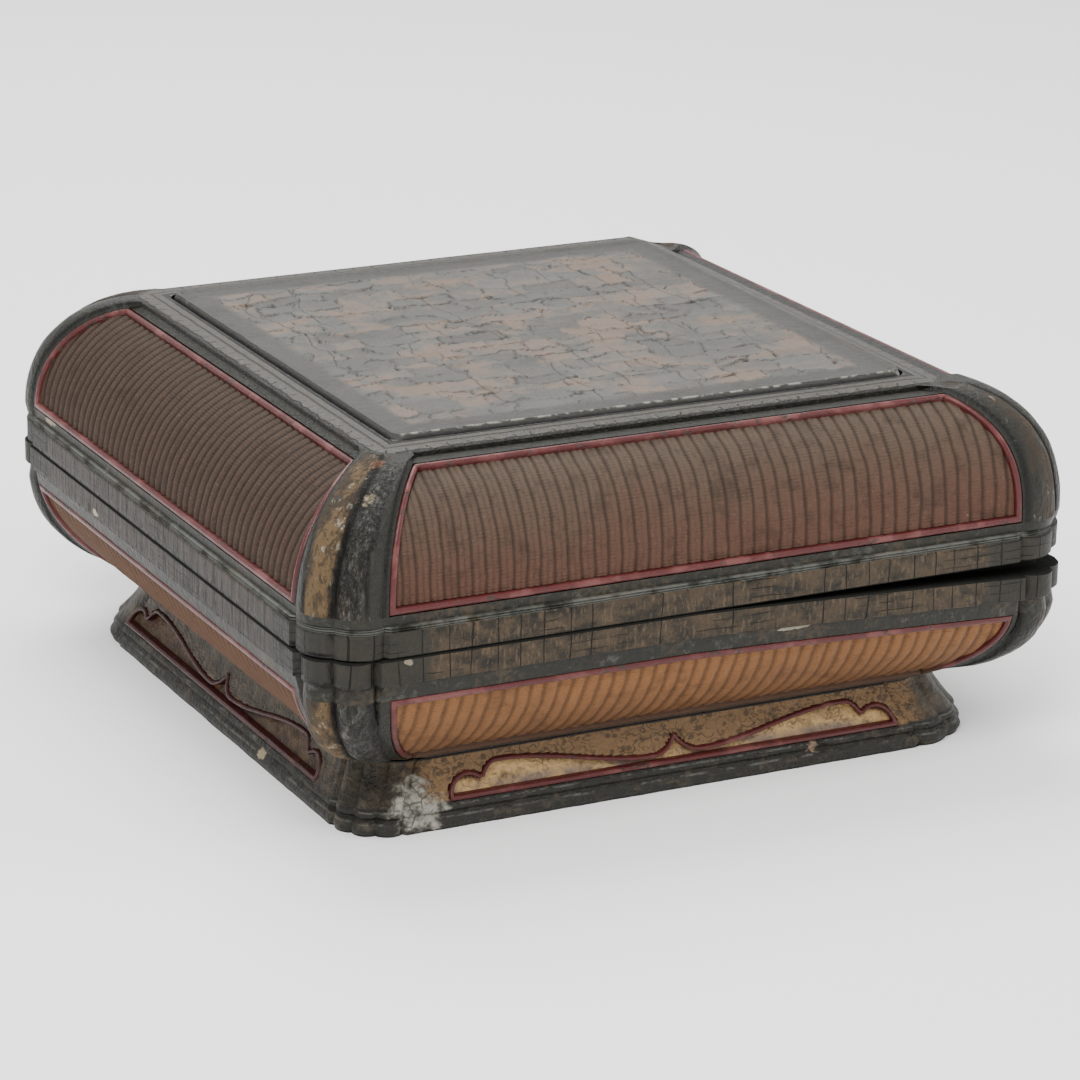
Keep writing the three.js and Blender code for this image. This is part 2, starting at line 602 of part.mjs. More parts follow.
function footFrameGeometry() {
  const steps = LOBE_STEPS * FOOT_CORNER.lobes;
  const level = (depth, z, corner) => squareOutline(depth, z, corner, steps);
  const innerCorner = { radius: INNER_CORNER, facets: INNER_FACETS };
  const loops = [];
  let reedBottom = 0;
  REED_HEIGHTS.forEach((height, i) => {
    const proud = FOOT_HALF - (i * (FOOT_HALF - FOOT_FLARE_HALF)) / REED_HEIGHTS.length;
    loops.push(level(proud - REED_GROOVE / 2, reedBottom, FOOT_CORNER));
    loops.push(level(proud, reedBottom + height * 0.35, FOOT_CORNER));
    loops.push(level(proud - REED_GROOVE / 4, reedBottom + height * 0.8, FOOT_CORNER));
    reedBottom += height;
  });
  for (let i = 0; i <= FLARE_STEPS; i += 1) {
    const z = blend(REEDS_TOP, FOOT_HEIGHT, i / FLARE_STEPS);
    loops.push(level(footDepth(z), z, FOOT_CORNER));
  }
  loops.push(level(FOOT_NECK_HALF - FOOT_WALL, FOOT_HEIGHT, innerCorner));
  loops.push(level(FOOT_HALF - FOOT_WALL, 0, innerCorner));
  let solid = toSolid(ringGeometry(loops));
  SIDES.forEach((_, turn) => {
    const outer = cuspEdge.map(([x, z]) => [x, -footDepth(z) - FOOT_WALL, z]);
    const inner = cuspEdge.map(([x, z]) => [x, -footDepth(z) + CUSP_DEPTH, z]);
    const cutter = prismGeometry(outer, inner);
    cutter.rotateZ(turn * QUARTER_TURN);
    solid = solid.subtract(toSolid(cutter));
  });
  return toGeometry(solid);
}

function cuspBeadGeometry() {
  const outer = drawnIn(cuspEdge, FIT_GAP);
  const inner = drawnIn(cuspEdge, FIT_GAP + CUSP_BEAD_WIDTH);
  const place = (points, lift) => points.map(([x, z]) => [x, -footDepth(z) - lift, z]);
  const floor = 2 * FIT_GAP - CUSP_DEPTH;
  return ringGeometry([
    place(outer, CUSP_BEAD_PROUD), place(inner, CUSP_BEAD_PROUD), place(inner, floor), place(outer, floor),
  ]);
}

const box = new THREE.Group();

function addPiece(name, geometry, finish) {
  const mesh = new THREE.Mesh(geometry, new THREE.MeshStandardMaterial(finish));
  mesh.name = name;
  geometry.computeVertexNormals();
  box.add(mesh);
}

addPiece('foot_frame', footFrameGeometry(), COLOURS.lacquer);
addPiece('base_frame', baseFrameGeometry(), COLOURS.lacquer);
addPiece('base_floor', floorGeometry(), COLOURS.lacquer);
addPiece('lid_frame', lidFrameGeometry(), COLOURS.lacquer);
addPiece('lid_top_board', topBoardGeometry(), COLOURS.board);
SIDES.forEach((side, turn) => {
  const turned = (geometry) => geometry.rotateZ(turn * QUARTER_TURN);
  addPiece(`foot_bead_${side}`, turned(cuspBeadGeometry()), COLOURS.redLacquer);
  const basePanel = panelShape(baseCurve);
  const lidPanel = panelShape(lidCurves[turn]);
  addPiece(`base_basketry_${side}`, sag(turned(basketryGeometry(basePanel))), COLOURS.baseBasketry);
  addPiece(`base_fillet_${side}`, sag(turned(filletGeometry(basePanel))), COLOURS.redLacquer);
  addPiece(`lid_basketry_${side}`, settle(turned(basketryGeometry(lidPanel))), COLOURS.lidBasketry);
  addPiece(`lid_fillet_${side}`, settle(turned(filletGeometry(lidPanel))), COLOURS.redLacquer);
});

export default box;
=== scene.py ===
from math import cos, pi, radians, sin

import bpy
import numpy as np
from mathutils import Matrix, Vector


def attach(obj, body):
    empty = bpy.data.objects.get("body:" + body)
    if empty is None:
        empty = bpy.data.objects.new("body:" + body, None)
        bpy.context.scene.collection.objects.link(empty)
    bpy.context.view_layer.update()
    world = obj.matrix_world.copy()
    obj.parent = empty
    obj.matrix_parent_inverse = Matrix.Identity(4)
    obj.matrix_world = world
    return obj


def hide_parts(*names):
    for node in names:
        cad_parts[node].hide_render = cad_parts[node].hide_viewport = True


bl_info = {
    "name": "Square lacquer box",
    "version": (1, 0, 0),
    "blender": (4, 5, 0),
    "location": "3D View > Sidebar > Lacquer box",
    "description": "Builds the finished surfaces of a square lacquer box over its plain model",
    "category": "Object",
}

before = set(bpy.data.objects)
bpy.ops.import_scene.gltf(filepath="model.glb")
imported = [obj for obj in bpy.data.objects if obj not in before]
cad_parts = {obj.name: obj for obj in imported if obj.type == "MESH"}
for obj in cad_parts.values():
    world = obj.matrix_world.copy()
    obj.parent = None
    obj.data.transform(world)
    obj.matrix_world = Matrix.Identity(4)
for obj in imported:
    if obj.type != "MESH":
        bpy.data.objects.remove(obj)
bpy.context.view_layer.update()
MM = 0.001
SIDES = ("front", "right", "back", "left")
GAP = 0.3
QUARTER = pi / 2


def blend(a, b, t):
    """Straight mix: a where t is 0 and b where t is 1."""
    return a + (b - a) * t


def smooth(t):
    """Smooth step from 0 to 1: t squared times three less two t."""
    t = np.clip(t, 0, 1)
    return t * t * (3 - 2 * t)


def swell_at(share, squareness):
    """Quarter of a superellipse: 1 at the rim and 0 at the crown."""
    return (1 - np.clip(share, 0, 1) ** squareness) ** (1 / squareness)


def shares(start, end, steps):
    """Shares of the swell's height, closer together where it curves in: sines of even steps."""
    return np.sin(np.linspace(np.arcsin(start), np.arcsin(end), steps + 1))


# Sizes in millimetres, the same as in the plain model. The tuples hold, in this order:
# a side: height and squareness of its swell (the lid has one for each turn)
# a post or an inside: rim, reach, height and squareness
# a span: the shares of the swell's height between which a panel lies
# an end: half width of a panel at the rim, how far it narrows, squareness of that curve
# a corner's radii: front right, back right, back left, front left
RIM = 150.0
PARTING = 74.0
LID_BOTTOM = PARTING + GAP
BAND_TOP = LID_BOTTOM + 9.0
LID_CENTRE, LID_RIM, LID_REACH = 88.0, 148.0, 46.0
LID_SIDES = ((46.6, 2.75), (46.0, 2.4), (44.5, 2.15), (43.7, 2.05))
LID_POST_PROUD = 1.8
LID_SPAN = (0.013, 0.955)
LID_END = (124.0, 35.0, 2.6)
LID_CORNER = {"radii": (26, 26, 27, 24), "lobes": 2, "groove": 1.8}
LID_INSIDE = (140.5, 38.5, 36.5, 1.9)
LEDGE, LEDGE_TOP, LEDGE_STEP, LEDGE_RISE = 113.5, 133.3, 2.0, 0.5
BOARD, BOARD_TOP, BOARD_THICK, BOARD_CORNER = 102.0, 136.0, 5.4, 6.0
SEAT_WIDTH, SEAT_THICK = 6.7, 8
BASE_CENTRE, BASE_RIM, BASE_REACH = 62.0, 147.5, 45.0
BASE_SIDE = (41.2, 1.75)
BASE_POST = (149.2, 47.0, 39.0, 2.2)
BASE_SPAN = (0.083, 0.9)
BASE_END = (122.9, 38.0, 2.2)
BASE_CORNER = {"radii": (23, 23, 24, 21), "lobes": 2, "groove": 3.2}
BASE_INSIDE = (137, 30.7, 28.2, 2.4)
BASE_LIP = ((140, PARTING), (140, 78.5), (139.5, 79), (137.5, 79), (137, 78.5))
BASE_BOTTOM, FLOOR_SEAT, FLOOR_EDGE, NECK_HOLE = 23.7, 27.2, 106.3, 99.3
RECESS = 3.8
FILLET_WIDTH, FILLET_PROUD = 2.4, 0.4
FOOT_TOP, FOOT_NECK, FOOT_FLARE, FOOT_HALF, REEDS_TOP = 23.4, 118.5, 126.0, 128.5, 8.6
FOOT_CORNER = {"radii": (30, 30, 36, 19), "lobes": 3, "groove": 1.6}
FOOT_WALL = 8
# How far the base's rim and the lid's right shoulder have sunk
SAG, SETTLE = 6.2, 4.2

# Steps of the grids, and the power that rounds a post's lobes
FLAT_STEPS, FOOT_FLAT_STEPS, ARC_STEPS = 60, 170, 30
LOBE_ROUNDNESS = 0.7
# Stands for the half width of a side without a panel
NO_PANEL = 999
# Least distance from a corner's curve to such a side's flat, and to a panel's end
CORNER_FLAT, CORNER_CLEAR = 3, 1.5


def rough(points, size, seed, octaves=3):
    """Smooth random field from -1 to 1: a sum of sine waves in random directions, finer and
    weaker with each octave."""
    rng = np.random.default_rng(seed)
    total, weight = np.zeros(len(points)), 0
    for octave in range(octaves):
        share = 0.5**octave
        for _ in range(5):
            way = rng.normal(size=3)
            way *= 2 * pi / (size * share * np.linalg.norm(way))
            total += share * np.sin(points @ way + rng.uniform(0, 2 * pi))
        weight += share * 5
    return total / weight * 1.8


def curve(centre, rim, reach, height, squareness, share, sense):
    """Side curve: depth, height and outward normal at shares of the swell's height. The depth is
    the rim less the reach, plus the reach times the swell, and the normal stands across the
    slope between two near shares."""
    share = np.atleast_1d(np.asarray(share, float))

    def at(t):
        return rim - reach + reach * swell_at(t, squareness), centre + sense * height * t

    depth, z = at(share)
    ahead, behind = at(np.minimum(share + 0.002, 1)), at(np.maximum(share - 0.002, 0))
    run = np.array([ahead[0] - behind[0], ahead[1] - behind[1]])
    run /= np.linalg.norm(run, axis=0)
    return depth, z, np.array([sense * run[1], -sense * run[0]]).T


def panel_end(end, share):
    """Half width of a panel, which narrows towards the crown as the swell does."""
    return end[0] - end[1] + end[1] * swell_at(share, end[2])


def lid_side(turn, share):
    """Outer curve of one side of the lid."""
    height, squareness = LID_SIDES[turn]
    return curve(LID_CENTRE, LID_RIM, LID_REACH, height, squareness, share, 1)


def lid_post(turn, share):
    """The same curve moved out, for the lid's posts."""
    height, squareness = LID_SIDES[turn]
    up = LID_POST_PROUD
    return curve(LID_CENTRE, LID_RIM + up, LID_REACH, height + up, squareness, share, 1)


def base_side(turn, share):
    """Outer curve of the base, downwards from the rim."""
    return curve(BASE_CENTRE, BASE_RIM, BASE_REACH, *BASE_SIDE, share, -1)


def base_post(turn, share):
    """Curve of the base's posts, downwards from the rim."""
    rim, reach, height, squareness = BASE_POST
    return curve(BASE_CENTRE, rim, reach, height, squareness, share, -1)


def sag(p):
    """The base's rim sinks towards the front right corner: a power of the way to the right, which
    fades towards the back and below the panels."""
    x, y, z = p.T
    run = np.clip((x + 10) / (RIM + 10), 0, 1) ** 1.15
    back = 1 - smooth((y + RIM - BASE_CORNER["radii"][0]) / 40)
    fade = 1 - smooth((BASE_CENTRE - z) / (BASE_SPAN[1] * BASE_SIDE[0]))
    return p - np.outer(SAG * run * back * fade, [0, 0, 1])


def settle(p):
    """The lid's right shoulder sinks towards the back: the product of the ways back, out past the
    board and up the swell."""
    x, y, z = p.T
    back = np.clip((y + RIM) / (RIM + LEDGE), 0, 1)
    out = np.clip((x - BOARD) / 12, 0, 1)
    fade = np.clip((z - LID_CENTRE) / LID_SIDES[1][0], 0, 1)
    return p - np.outer(SETTLE * back * out * fade, [0, 0, 1])


def turned(p, turn):
    """Points turned about the upright axis by quarter turns."""
    c, s = (1, 0, -1, 0)[turn], (0, 1, 0, -1)[turn]
    x, y, z = p.T
    return np.stack([x * c - y * s, x * s + y * c, z], axis=1)


def plain_corner(radius):
    """Four quarter circles without lobes."""
    return {"radii": (radius,) * 4, "lobes": 0, "groove": 0}


def columns_of(flat_steps):
    """Columns of a loop: on each side a left edge, the sunk stretch, two at the right edge, the
    rounded corner and one after it."""
    return 4 * (flat_steps + 3 + ARC_STEPS + 2)


def outline(station, corner, flat_steps=FLAT_STEPS):
    """One loop around the box. station has, for each side, depth, z, half width, sunk depth and z,
    the posts' depth and z, and the start of the post. A corner is a quarter of an ellipse whose
    reach dips by the groove wherever the sine of its lobes is small."""
    out = []
    for turn in range(4):
        d, z, half, sunk, sunk_z, post, post_z, post_start = station[turn]
        nd, nz, nhalf, _, _, npost, npost_z, npost_start = station[(turn + 1) % 4]
        before, radius = corner["radii"][turn - 1], corner["radii"][turn]
        first = half if half < NO_PANEL else d - before - CORNER_FLAT
        half = half if half < NO_PANEL else d - radius - CORNER_FLAT
        nhalf = nhalf if nhalf < NO_PANEL else nd - radius - CORNER_FLAT
        across = min(radius, npost - max(half, post_start) - CORNER_CLEAR)
        along = min(radius, post - max(nhalf, npost_start) - CORNER_CLEAR)
        flat = np.linspace(-first, half, flat_steps)
        arc = np.linspace(0, QUARTER, ARC_STEPS + 1)
        wave = np.abs(np.sin(2 * corner["lobes"] * arc)) ** LOBE_ROUNDNESS
        reach = 1 - corner["groove"] * (1 - wave) / radius
        lobes = np.stack(
            [
                npost - across + across * reach * np.sin(arc),
                along - post - along * reach * np.cos(arc),
                blend(post_z, npost_z, arc / QUARTER),
            ],
            axis=1,
        )
        right = max(half, min(npost - radius - CORNER_CLEAR, nd))
        left = max(nhalf, min(post - radius - CORNER_CLEAR, d))
        floor = np.stack([flat, np.full(flat_steps, -sunk), np.full(flat_steps, sunk_z)], axis=1)
        edges = [[half, -d, z], [right, -d, z]]
        local = np.concatenate([[[-first, -d, z]], floor, edges, lobes, [[nd, -left, nz]]])
        out.append(turned(local, turn))
    return np.concatenate(out)


def column_marks():
    """For each column: 1 in the corners and 0 along the sides, and the share round the corner."""
    side = [0] * (FLAT_STEPS + 3)
    corner = side + [1] * (ARC_STEPS + 1) + [0]
    share = side + list(np.linspace(0, 1, ARC_STEPS + 1)) + [0]
    return np.array(corner * 4, float), np.array(share * 4)


def level(depth, z, post=None, post_z=None):
    """A station with four alike sides at one height."""
    return [(depth, z, NO_PANEL, depth, z, post or depth, post_z or z, 0)] * 4


def sunk_station(side, post, end, share, recess, toes=None):
    """A station across the panels. toes fades the posts back flush with the sides near the neck,
    where a post starts beside the panel's end at the post's own depth."""
    rows = []
    for turn in range(4):
        depth, z, normal = (v[0] for v in side(turn, share))
        post_depth, post_z, _ = (v[0] for v in post(turn, share))
        half = float(panel_end(end, share))
        row = (depth, z, half, depth - recess * normal[0], z - recess * normal[1])
        if toes is None:
            rows.append(row + (post_depth, post_z, 0))
            continue
        proud = float(toes(share))
        post_depth, post_z = blend(depth, post_depth, proud), blend(z, post_z, proud)
        beside = swell_at((post_depth - BASE_RIM + BASE_REACH) / BASE_REACH, BASE_SIDE[1])
        rows.append(row + (post_depth, post_z, float(panel_end(end, beside))))
    return rows


class Maths:
    """A shader socket with arithmetic, so that a material reads as a formula."""

    def __init__(self, tree, socket):
        self.tree, self.socket = tree, socket

    def node(self, kind, settings=None, inputs=None, output=0):
        node = self.tree.nodes.new(kind)
        for key, value in (settings or {}).items():
            setattr(node, key, value)
        for key, value in (inputs or {}).items():
            if isinstance(value, Maths):
                self.tree.links.new(value.socket, node.inputs[key])
            else:
                node.inputs[key].default_value = value
        return Maths(self.tree, node.outputs[output])

    def maths(self, operation, *values):
        return self.node("ShaderNodeMath", {"operation": operation}, dict(enumerate(values)))

    def __add__(self, other):
        return self.maths("ADD", self, other)

    def __radd__(self, other):
        return self.maths("ADD", other, self)

    def __sub__(self, other):
        return self.maths("SUBTRACT", self, other)

    def __rsub__(self, other):
        return self.maths("SUBTRACT", other, self)

    def __mul__(self, other):
        return self.maths("MULTIPLY", self, other)

    def __rmul__(self, other):
        return self.maths("MULTIPLY", other, self)

    def __truediv__(self, other):
        return self.maths("DIVIDE", self, other)

    def __rtruediv__(self, other):
        return self.maths("DIVIDE", other, self)

    def __neg__(self):
        return self * -1

    def __abs__(self):
        return self.maths("ABSOLUTE", self)

    def sine(self):
        return self.maths("SINE", self)

    def atleast(self, other):
        return self.maths("MAXIMUM", self, other)

    def atmost(self, other):
        return self.maths("MINIMUM", self, other)

    def over(self, low, high):
        """Smooth step from 0 at low to 1 at high."""
        inputs = {"Value": self, "From Min": low, "From Max": high}
        return self.node("ShaderNodeMapRange", {"interpolation_type": "SMOOTHSTEP"}, inputs)

    def near(self, centre, full, gone):
        """1 within full of the centre value, and 0 from gone outwards."""
        return 1 - abs(self - centre).over(full, gone)

    def off_lines(self, spacing, low, high):
        """0 on lines at a spacing and 1 between them: a smooth step of the size of a sine."""
        return abs((self * (pi / spacing)).sine()).over(low, high)

    def mix(self, a, b):
        """Colour a where this is 0 and b where it is 1."""
        a, b = ((*c, 1) if isinstance(c, tuple) else c for c in (a, b))
        return self.node("ShaderNodeMix", {"data_type": "RGBA"}, {0: self, 6: a, 7: b}, 2)

    def under(self, mask, colour):
        """This colour with another laid over it where the mask is 1."""
        return mask.mix(self, colour)


class Finish:
    """A material under way: object coordinates in millimetres, noise, cells, the colour so far
    and the final shader."""

    def __init__(self, name):
        self.material = bpy.data.materials.new(name)
        self.material.use_nodes = True
        self.tree = self.material.node_tree
        self.tree.nodes.clear()
        self.start = Maths(self.tree, None)
        place = self.start.node("ShaderNodeTexCoord", output="Object")
        self.place = place.node(
            "ShaderNodeVectorMath", {"operation": "SCALE"}, {0: place, "Scale": 1 / MM})
        split = self.tree.nodes.new("ShaderNodeSeparateXYZ")
        self.tree.links.new(self.place.socket, split.inputs[0])
        self.x, self.y, self.z = (Maths(self.tree, split.outputs[i]) for i in range(3))

    def out(self):
        """Distance from the middle, the same all along a side."""
        return abs(self.x).atleast(abs(self.y))

    def along(self):
        """Distance from the middle of a side, measured along it."""
        return abs(self.x).atmost(abs(self.y))

    def facing(self):
        """1 on the front and back, 0 on the left and right."""
        return (abs(self.y) - abs(self.x)).over(-4, 4)

    def stretched(self, stretch):
        """The place times a stretch on each axis; a small number draws a pattern out."""
        return self.start.node(
            "ShaderNodeVectorMath", {"operation": "MULTIPLY"}, {0: self.place, 1: stretch})

    def noise(self, size, detail=3.0, stretch=(1, 1, 1), roughness=0.55):
        """Noise from 0 to 1 with blotches of a size in millimetres."""
        inputs = {"Scale": 1 / size, "Detail": detail, "Roughness": roughness}
        inputs["Vector"] = self.stretched(stretch)
        return self.start.node("ShaderNodeTexNoise", None, inputs)

    def cells(self, size, feature, stretch=(1, 1, 1)):
        """Random cells of a size: the distance to their middles (F1) or to their edges."""
        inputs = {"Vector": self.stretched(stretch), "Scale": 1 / size}
        return self.start.node("ShaderNodeTexVoronoi", {"feature": feature}, inputs)

    def spot(self, centre, size):
        """Ragged patch round a point, 1 inside and 0 outside: one less the squared distance in
        sizes, pushed up and down by noise."""
        away = [(v - c) / s for v, c, s in zip((self.x, self.y, self.z), centre, size)]
        within = 1 - away[0] * away[0] - away[1] * away[1] - away[2] * away[2]
        return (within + (self.noise(2.2, 5, roughness=0.7) - 0.5) * 4).over(0.15, 0.45)

    def mark(self, name):
        """A number that the mesh holds for each point."""
        return self.start.node("ShaderNodeAttribute", {"attribute_name": name}, None, 2)

    def lay(self, mask, colour):
        """Lays a colour over what is there so far, where the mask is 1."""
        self.colour = self.colour.under(mask, colour)

    def finish(self, roughness, height, depth, coat=0.0, coat_roughness=0.3, specular=0.2):
        """The shader, with the height as a bump of a depth in millimetres."""
        bump = self.start.node(
            "ShaderNodeBump", None, {"Height": height, "Distance": depth * MM, "Strength": 1.0})
        inputs = {
            "Base Color": self.colour,
            "Roughness": roughness,
            "Normal": bump,
            "Coat Weight": coat,
            "Coat Roughness": coat_roughness,
            "Specular IOR Level": specular,
        }
        shader = self.start.node("ShaderNodeBsdfPrincipled", None, inputs)
        out = self.tree.nodes.new("ShaderNodeOutputMaterial")
        self.tree.links.new(shader.socket, out.inputs["Surface"])
        return self.material


# Colours that several finishes share
BLACK, WORN_BLACK = (0.006, 0.006, 0.005), (0.024, 0.023, 0.018)


def lacquer_finish(colours):
    """Black lacquer gone grey-green, with fine cracks, brown rubbed spots, two chips, and a painted
    highlight on the lid's two beads above the band.
    """
    f = Finish("black_lacquer")
    broad, fine = f.noise(22), f.noise(2.2, 4)
    scuff = f.noise(5, 5, roughness=0.7).over(0.54, 0.7)
    rubbed = (broad * 0.7 + fine * 0.5).over(0.6, 0.78)
    f.colour = fine.mix((0.006, 0.006, 0.0045), tuple(colours.worn_lacquer))
    f.lay(rubbed * 0.6, (0.06, 0.042, 0.025))
    f.lay(scuff * 0.4, (0.1, 0.1, 0.09))
    # Painted highlight: broken paler lines on the two beads above the lid's band.
    beads = f.z.near(BAND_TOP + 1, 0.9, 1.3) * f.noise(9, 4).over(0.35, 0.55)
    f.lay(beads * 0.5, (0.14, 0.145, 0.13))
    neck = 1 - f.z.over(26, 29)
    f.lay(neck * 0.7, fine.mix((0.02, 0.012, 0.007), (0.06, 0.034, 0.016)))
    f.lay(f.spot((-150, 107, 88), (6, 6, 1.8)) * 0.8, (0.3, 0.25, 0.16))
    f.lay(f.spot((31, -150, 62.6), (7, 6, 0.9)) * 0.7, (0.32, 0.3, 0.22))
    return f.finish(0.3 + fine * 0.3, broad + fine * 0.7 - scuff * 0.3, 0.7)


def inside_finish(colours):
    """Plain dull black lacquer of the inside and of the parting faces, partly painted shade: it is
    blacker than the outer lacquer, so that the gap under the lid reads dark.
    """
    f = Finish("inside_lacquer_and_shade")
    fine = f.noise(3, 3)
    # Partly painted shade: a deeper black than the outer lacquer.
    f.colour = fine.mix((0.0035, 0.0035, 0.003), (0.011, 0.011, 0.009))
    return f.finish(0.75 + fine * 0.15, fine, 0.3, specular=0.1)


def post_finish(colours):
    """Corner posts: smooth dark margins, grooves and the lines beside the lobes kept black and
    darkened further with painted shade, and lobes rubbed to brown and gold streaks.
    On the front left post one lobe keeps more gold and the other is flaked grey."""
    f = Finish("post_lacquer")
    wear, groove = f.mark("wear"), f.mark("groove")
    near = (-f.x).over(108, 120) * (-f.y).over(108, 120)
    round_by = f.x - f.y
    golden = near * (-round_by).over(-2, 4) * (1 - (-round_by).over(12, 18))
    flaky = near * round_by.over(0, 4) * (1 - round_by.over(13, 19))
    margin = near * abs(round_by).over(15, 20)
    streak = f.noise(8, 5, (1.5, 1.5, 0.3), 0.65)
    fine, broad = f.noise(1.6, 4), f.noise(14, 3)
    patch = f.noise(15, 4, (1.3, 1.3, 0.5), 0.6)
    worn = wear * 0.55 + streak * 0.9 + broad * 0.5 + golden * 0.08 - flaky * 0.1
    worn = worn.over(0.9, 1.2) * (1 - margin * 0.8)
    gold = (wear * 0.45 + patch * 1.5 + golden * 0.1 - flaky * 0.3).over(1.12, 1.3)
    gold = gold * wear.over(0.2, 0.45)
    flecks = f.noise(3.0, 6, (1.6, 1.6, 0.45), 0.8) * 0.8 + wear * 0.2 + flaky * 0.1
    flecks = flecks.over(0.6, 0.7)
    pale = (f.noise(5, 5, (1.3, 1.3, 0.5), 0.75) + wear * 0.1 + flaky * 0.04).over(0.66, 0.74)
    f.colour = fine.mix((0.0065, 0.0065, 0.005), (0.022, 0.0215, 0.016))
    f.lay(worn * 0.8, (0.038, 0.025, 0.014))
    f.lay(gold * worn * 0.85, (0.1, 0.064, 0.03))
    f.lay(flecks * 0.5, (0.1, 0.088, 0.066))
    f.lay(pale * wear * 0.7, (0.3, 0.27, 0.22))
    flaked = flaky * f.noise(2.6, 6, (1.5, 1.5, 0.5), 0.8).over(0.48, 0.6)
    f.lay(flaked * 0.45, (0.1, 0.096, 0.084))
    pits = flaky * (1 - f.noise(3.4, 5, (1.5, 1.5, 0.45), 0.75).over(0.42, 0.5))
    f.lay(pits * 0.6, (0.008, 0.006, 0.005))
    # Painted shade: near-black in the grooves and along the lines beside the lobes.
    beside = near * (abs(round_by) + (streak - 0.5) * 5).near(16.5, 0.5, 1.8)
    crease_shade = (groove + (fine - 0.5) * 0.3).over(0.35, 0.8).atleast(beside * 0.85)
    f.lay(crease_shade * 0.95, (0.0045, 0.0045, 0.0035))
    f.lay(f.spot((-116, -119, 134), (4.5, 4.5, 2.5)) * 0.7, (0.2, 0.085, 0.035))
    f.lay(f.spot((-125, -134, 129), (3, 3, 7)) * 0.6, (0.34, 0.28, 0.17))
    height = streak * 1.3 + fine * 0.5 - worn * 0.7 - groove * 0.5 - flecks * 0.4 - pits * 0.8
    return f.finish(0.3 + worn * 0.35 + fine * 0.15, height, 1.4)


def band_finish(colours):
    """Rim bands: worn gilding in cells split by upright cracks; on the left side grey upright
    splinters with dark ragged gaps."""
    f = Finish("band_lacquer")
    front = f.facing()
    left = (-f.x).over(0, 10) * (1 - front)
    run = front * f.x + (1 - front) * f.y + f.noise(9, 2, (1, 1, 0.15)) * 7
    crack = run.off_lines(9, 0.0, 0.11)
    crack = 1 - (1 - crack) * f.noise(12, 2, (1, 1, 0.1)).over(0.42, 0.5)
    lines = (f.z + f.noise(14, 2) * 2).off_lines(3.1, 0.0, 0.22)
    lines = 1 - (1 - lines) * f.noise(20, 2).over(0.5, 0.62) * 0.6
    fine, blot = f.noise(1.5, 5, roughness=0.7), f.noise(8, 4, (1, 1, 1.8), 0.65)
    stroke = f.noise(1.5, 4, (1, 1, 0.3), 0.7)
    ends = f.along().over(106, 112)
    splinter = f.noise(2.2, 4, (1, 1, 0.12), 0.7)
    f.colour = blot.over(0.3, 0.65).mix((0.01, 0.0085, 0.006), (0.045, 0.031, 0.018))
    f.lay(stroke.over(0.5, 0.66) * 0.55, (0.095, 0.067, 0.038))
    f.lay(fine.over(0.56, 0.72) * 0.4, (0.12, 0.09, 0.055))
    side = splinter.over(0.35, 0.65).mix((0.009, 0.0075, 0.006), (0.043, 0.034, 0.026))
    f.lay(left * 0.9, side)
    gaps = 1 - abs((run * (pi / 7.5) + splinter * 2.5).sine()).over(0.03, 0.2)
    gaps = left * gaps * (f.noise(9, 3) * 1.4).over(0.5, 0.75)
    lid_edge = (1 - f.z.over(75.2, 76.4)) * f.z.over(74.1, 74.3)
    low = (1 - f.z.over(65.2, 66.6)).atleast(lid_edge)
    torn = left * low * f.noise(5, 3, (1, 1, 0.2)).over(0.4, 0.5)
    f.lay(ends * 0.85, fine.mix((0.007, 0.007, 0.0055), WORN_BLACK))
    dark = (1 - crack * lines).atleast(gaps).atleast(torn)
    f.lay(dark, (0.005, 0.005, 0.004))
    f.lay(f.spot((-150, 56, 67.2), (6, 3.4, 1.4)) * 0.85, (0.4, 0.33, 0.22))
    f.lay(f.spot((-117.5, -150, 72.4), (1.8, 6, 1.3)) * 0.7, (0.22, 0.19, 0.13))
    height = (1 - dark) * 1.2 + fine * 0.4 + blot * 0.5 + splinter * left * 0.8
    return f.finish(0.34 + fine * 0.25 + blot * 0.1, height, 0.8)


def ledge_finish(colours):
    """Ledge round the top board: grey-brown lacquer, a dark line of painted shade beside the
    board, one fine line along the middle, and a ragged black outer step."""
    f = Finish("ledge_lacquer")
    broad, fine = f.noise(12, 4), f.noise(1.8, 4)
    across = f.out()
    # Painted shade: a black line on the ledge beside the board's edge.
    beside = across.near(BOARD + 0.6, 0.6, 1.3)
    middle = (across + broad * 1.2).near(107.4, 0.15, 0.55) * 0.6
    ragged = (across + (f.noise(4, 4, roughness=0.7) - 0.5) * 4.5).over(111.6, 112.6)
    f.colour = (fine * 0.6 + broad * 0.4).mix((0.022, 0.021, 0.0175), (0.085, 0.078, 0.066))
    f.lay(broad.over(0.5, 0.66) * 0.5, (0.06, 0.046, 0.033))
    chips = f.noise(2.6, 4).over(0.63, 0.7) * across.over(108, 111)
    f.lay(chips * 0.4, (0.2, 0.18, 0.14))
    run = f.along() + f.noise(7, 2) * 7
    split = (1 - run.off_lines(8, 0.02, 0.14)) * across.over(108.6, 109.6)
    dark = beside.atleast(middle).atleast(ragged * 0.9).atleast(split * 0.7)
    f.lay(dark, BLACK)
    return f.finish(0.35 + broad * 0.2, broad * 1.4 + fine * 0.7 - dark, 1.0, specular=0.25)


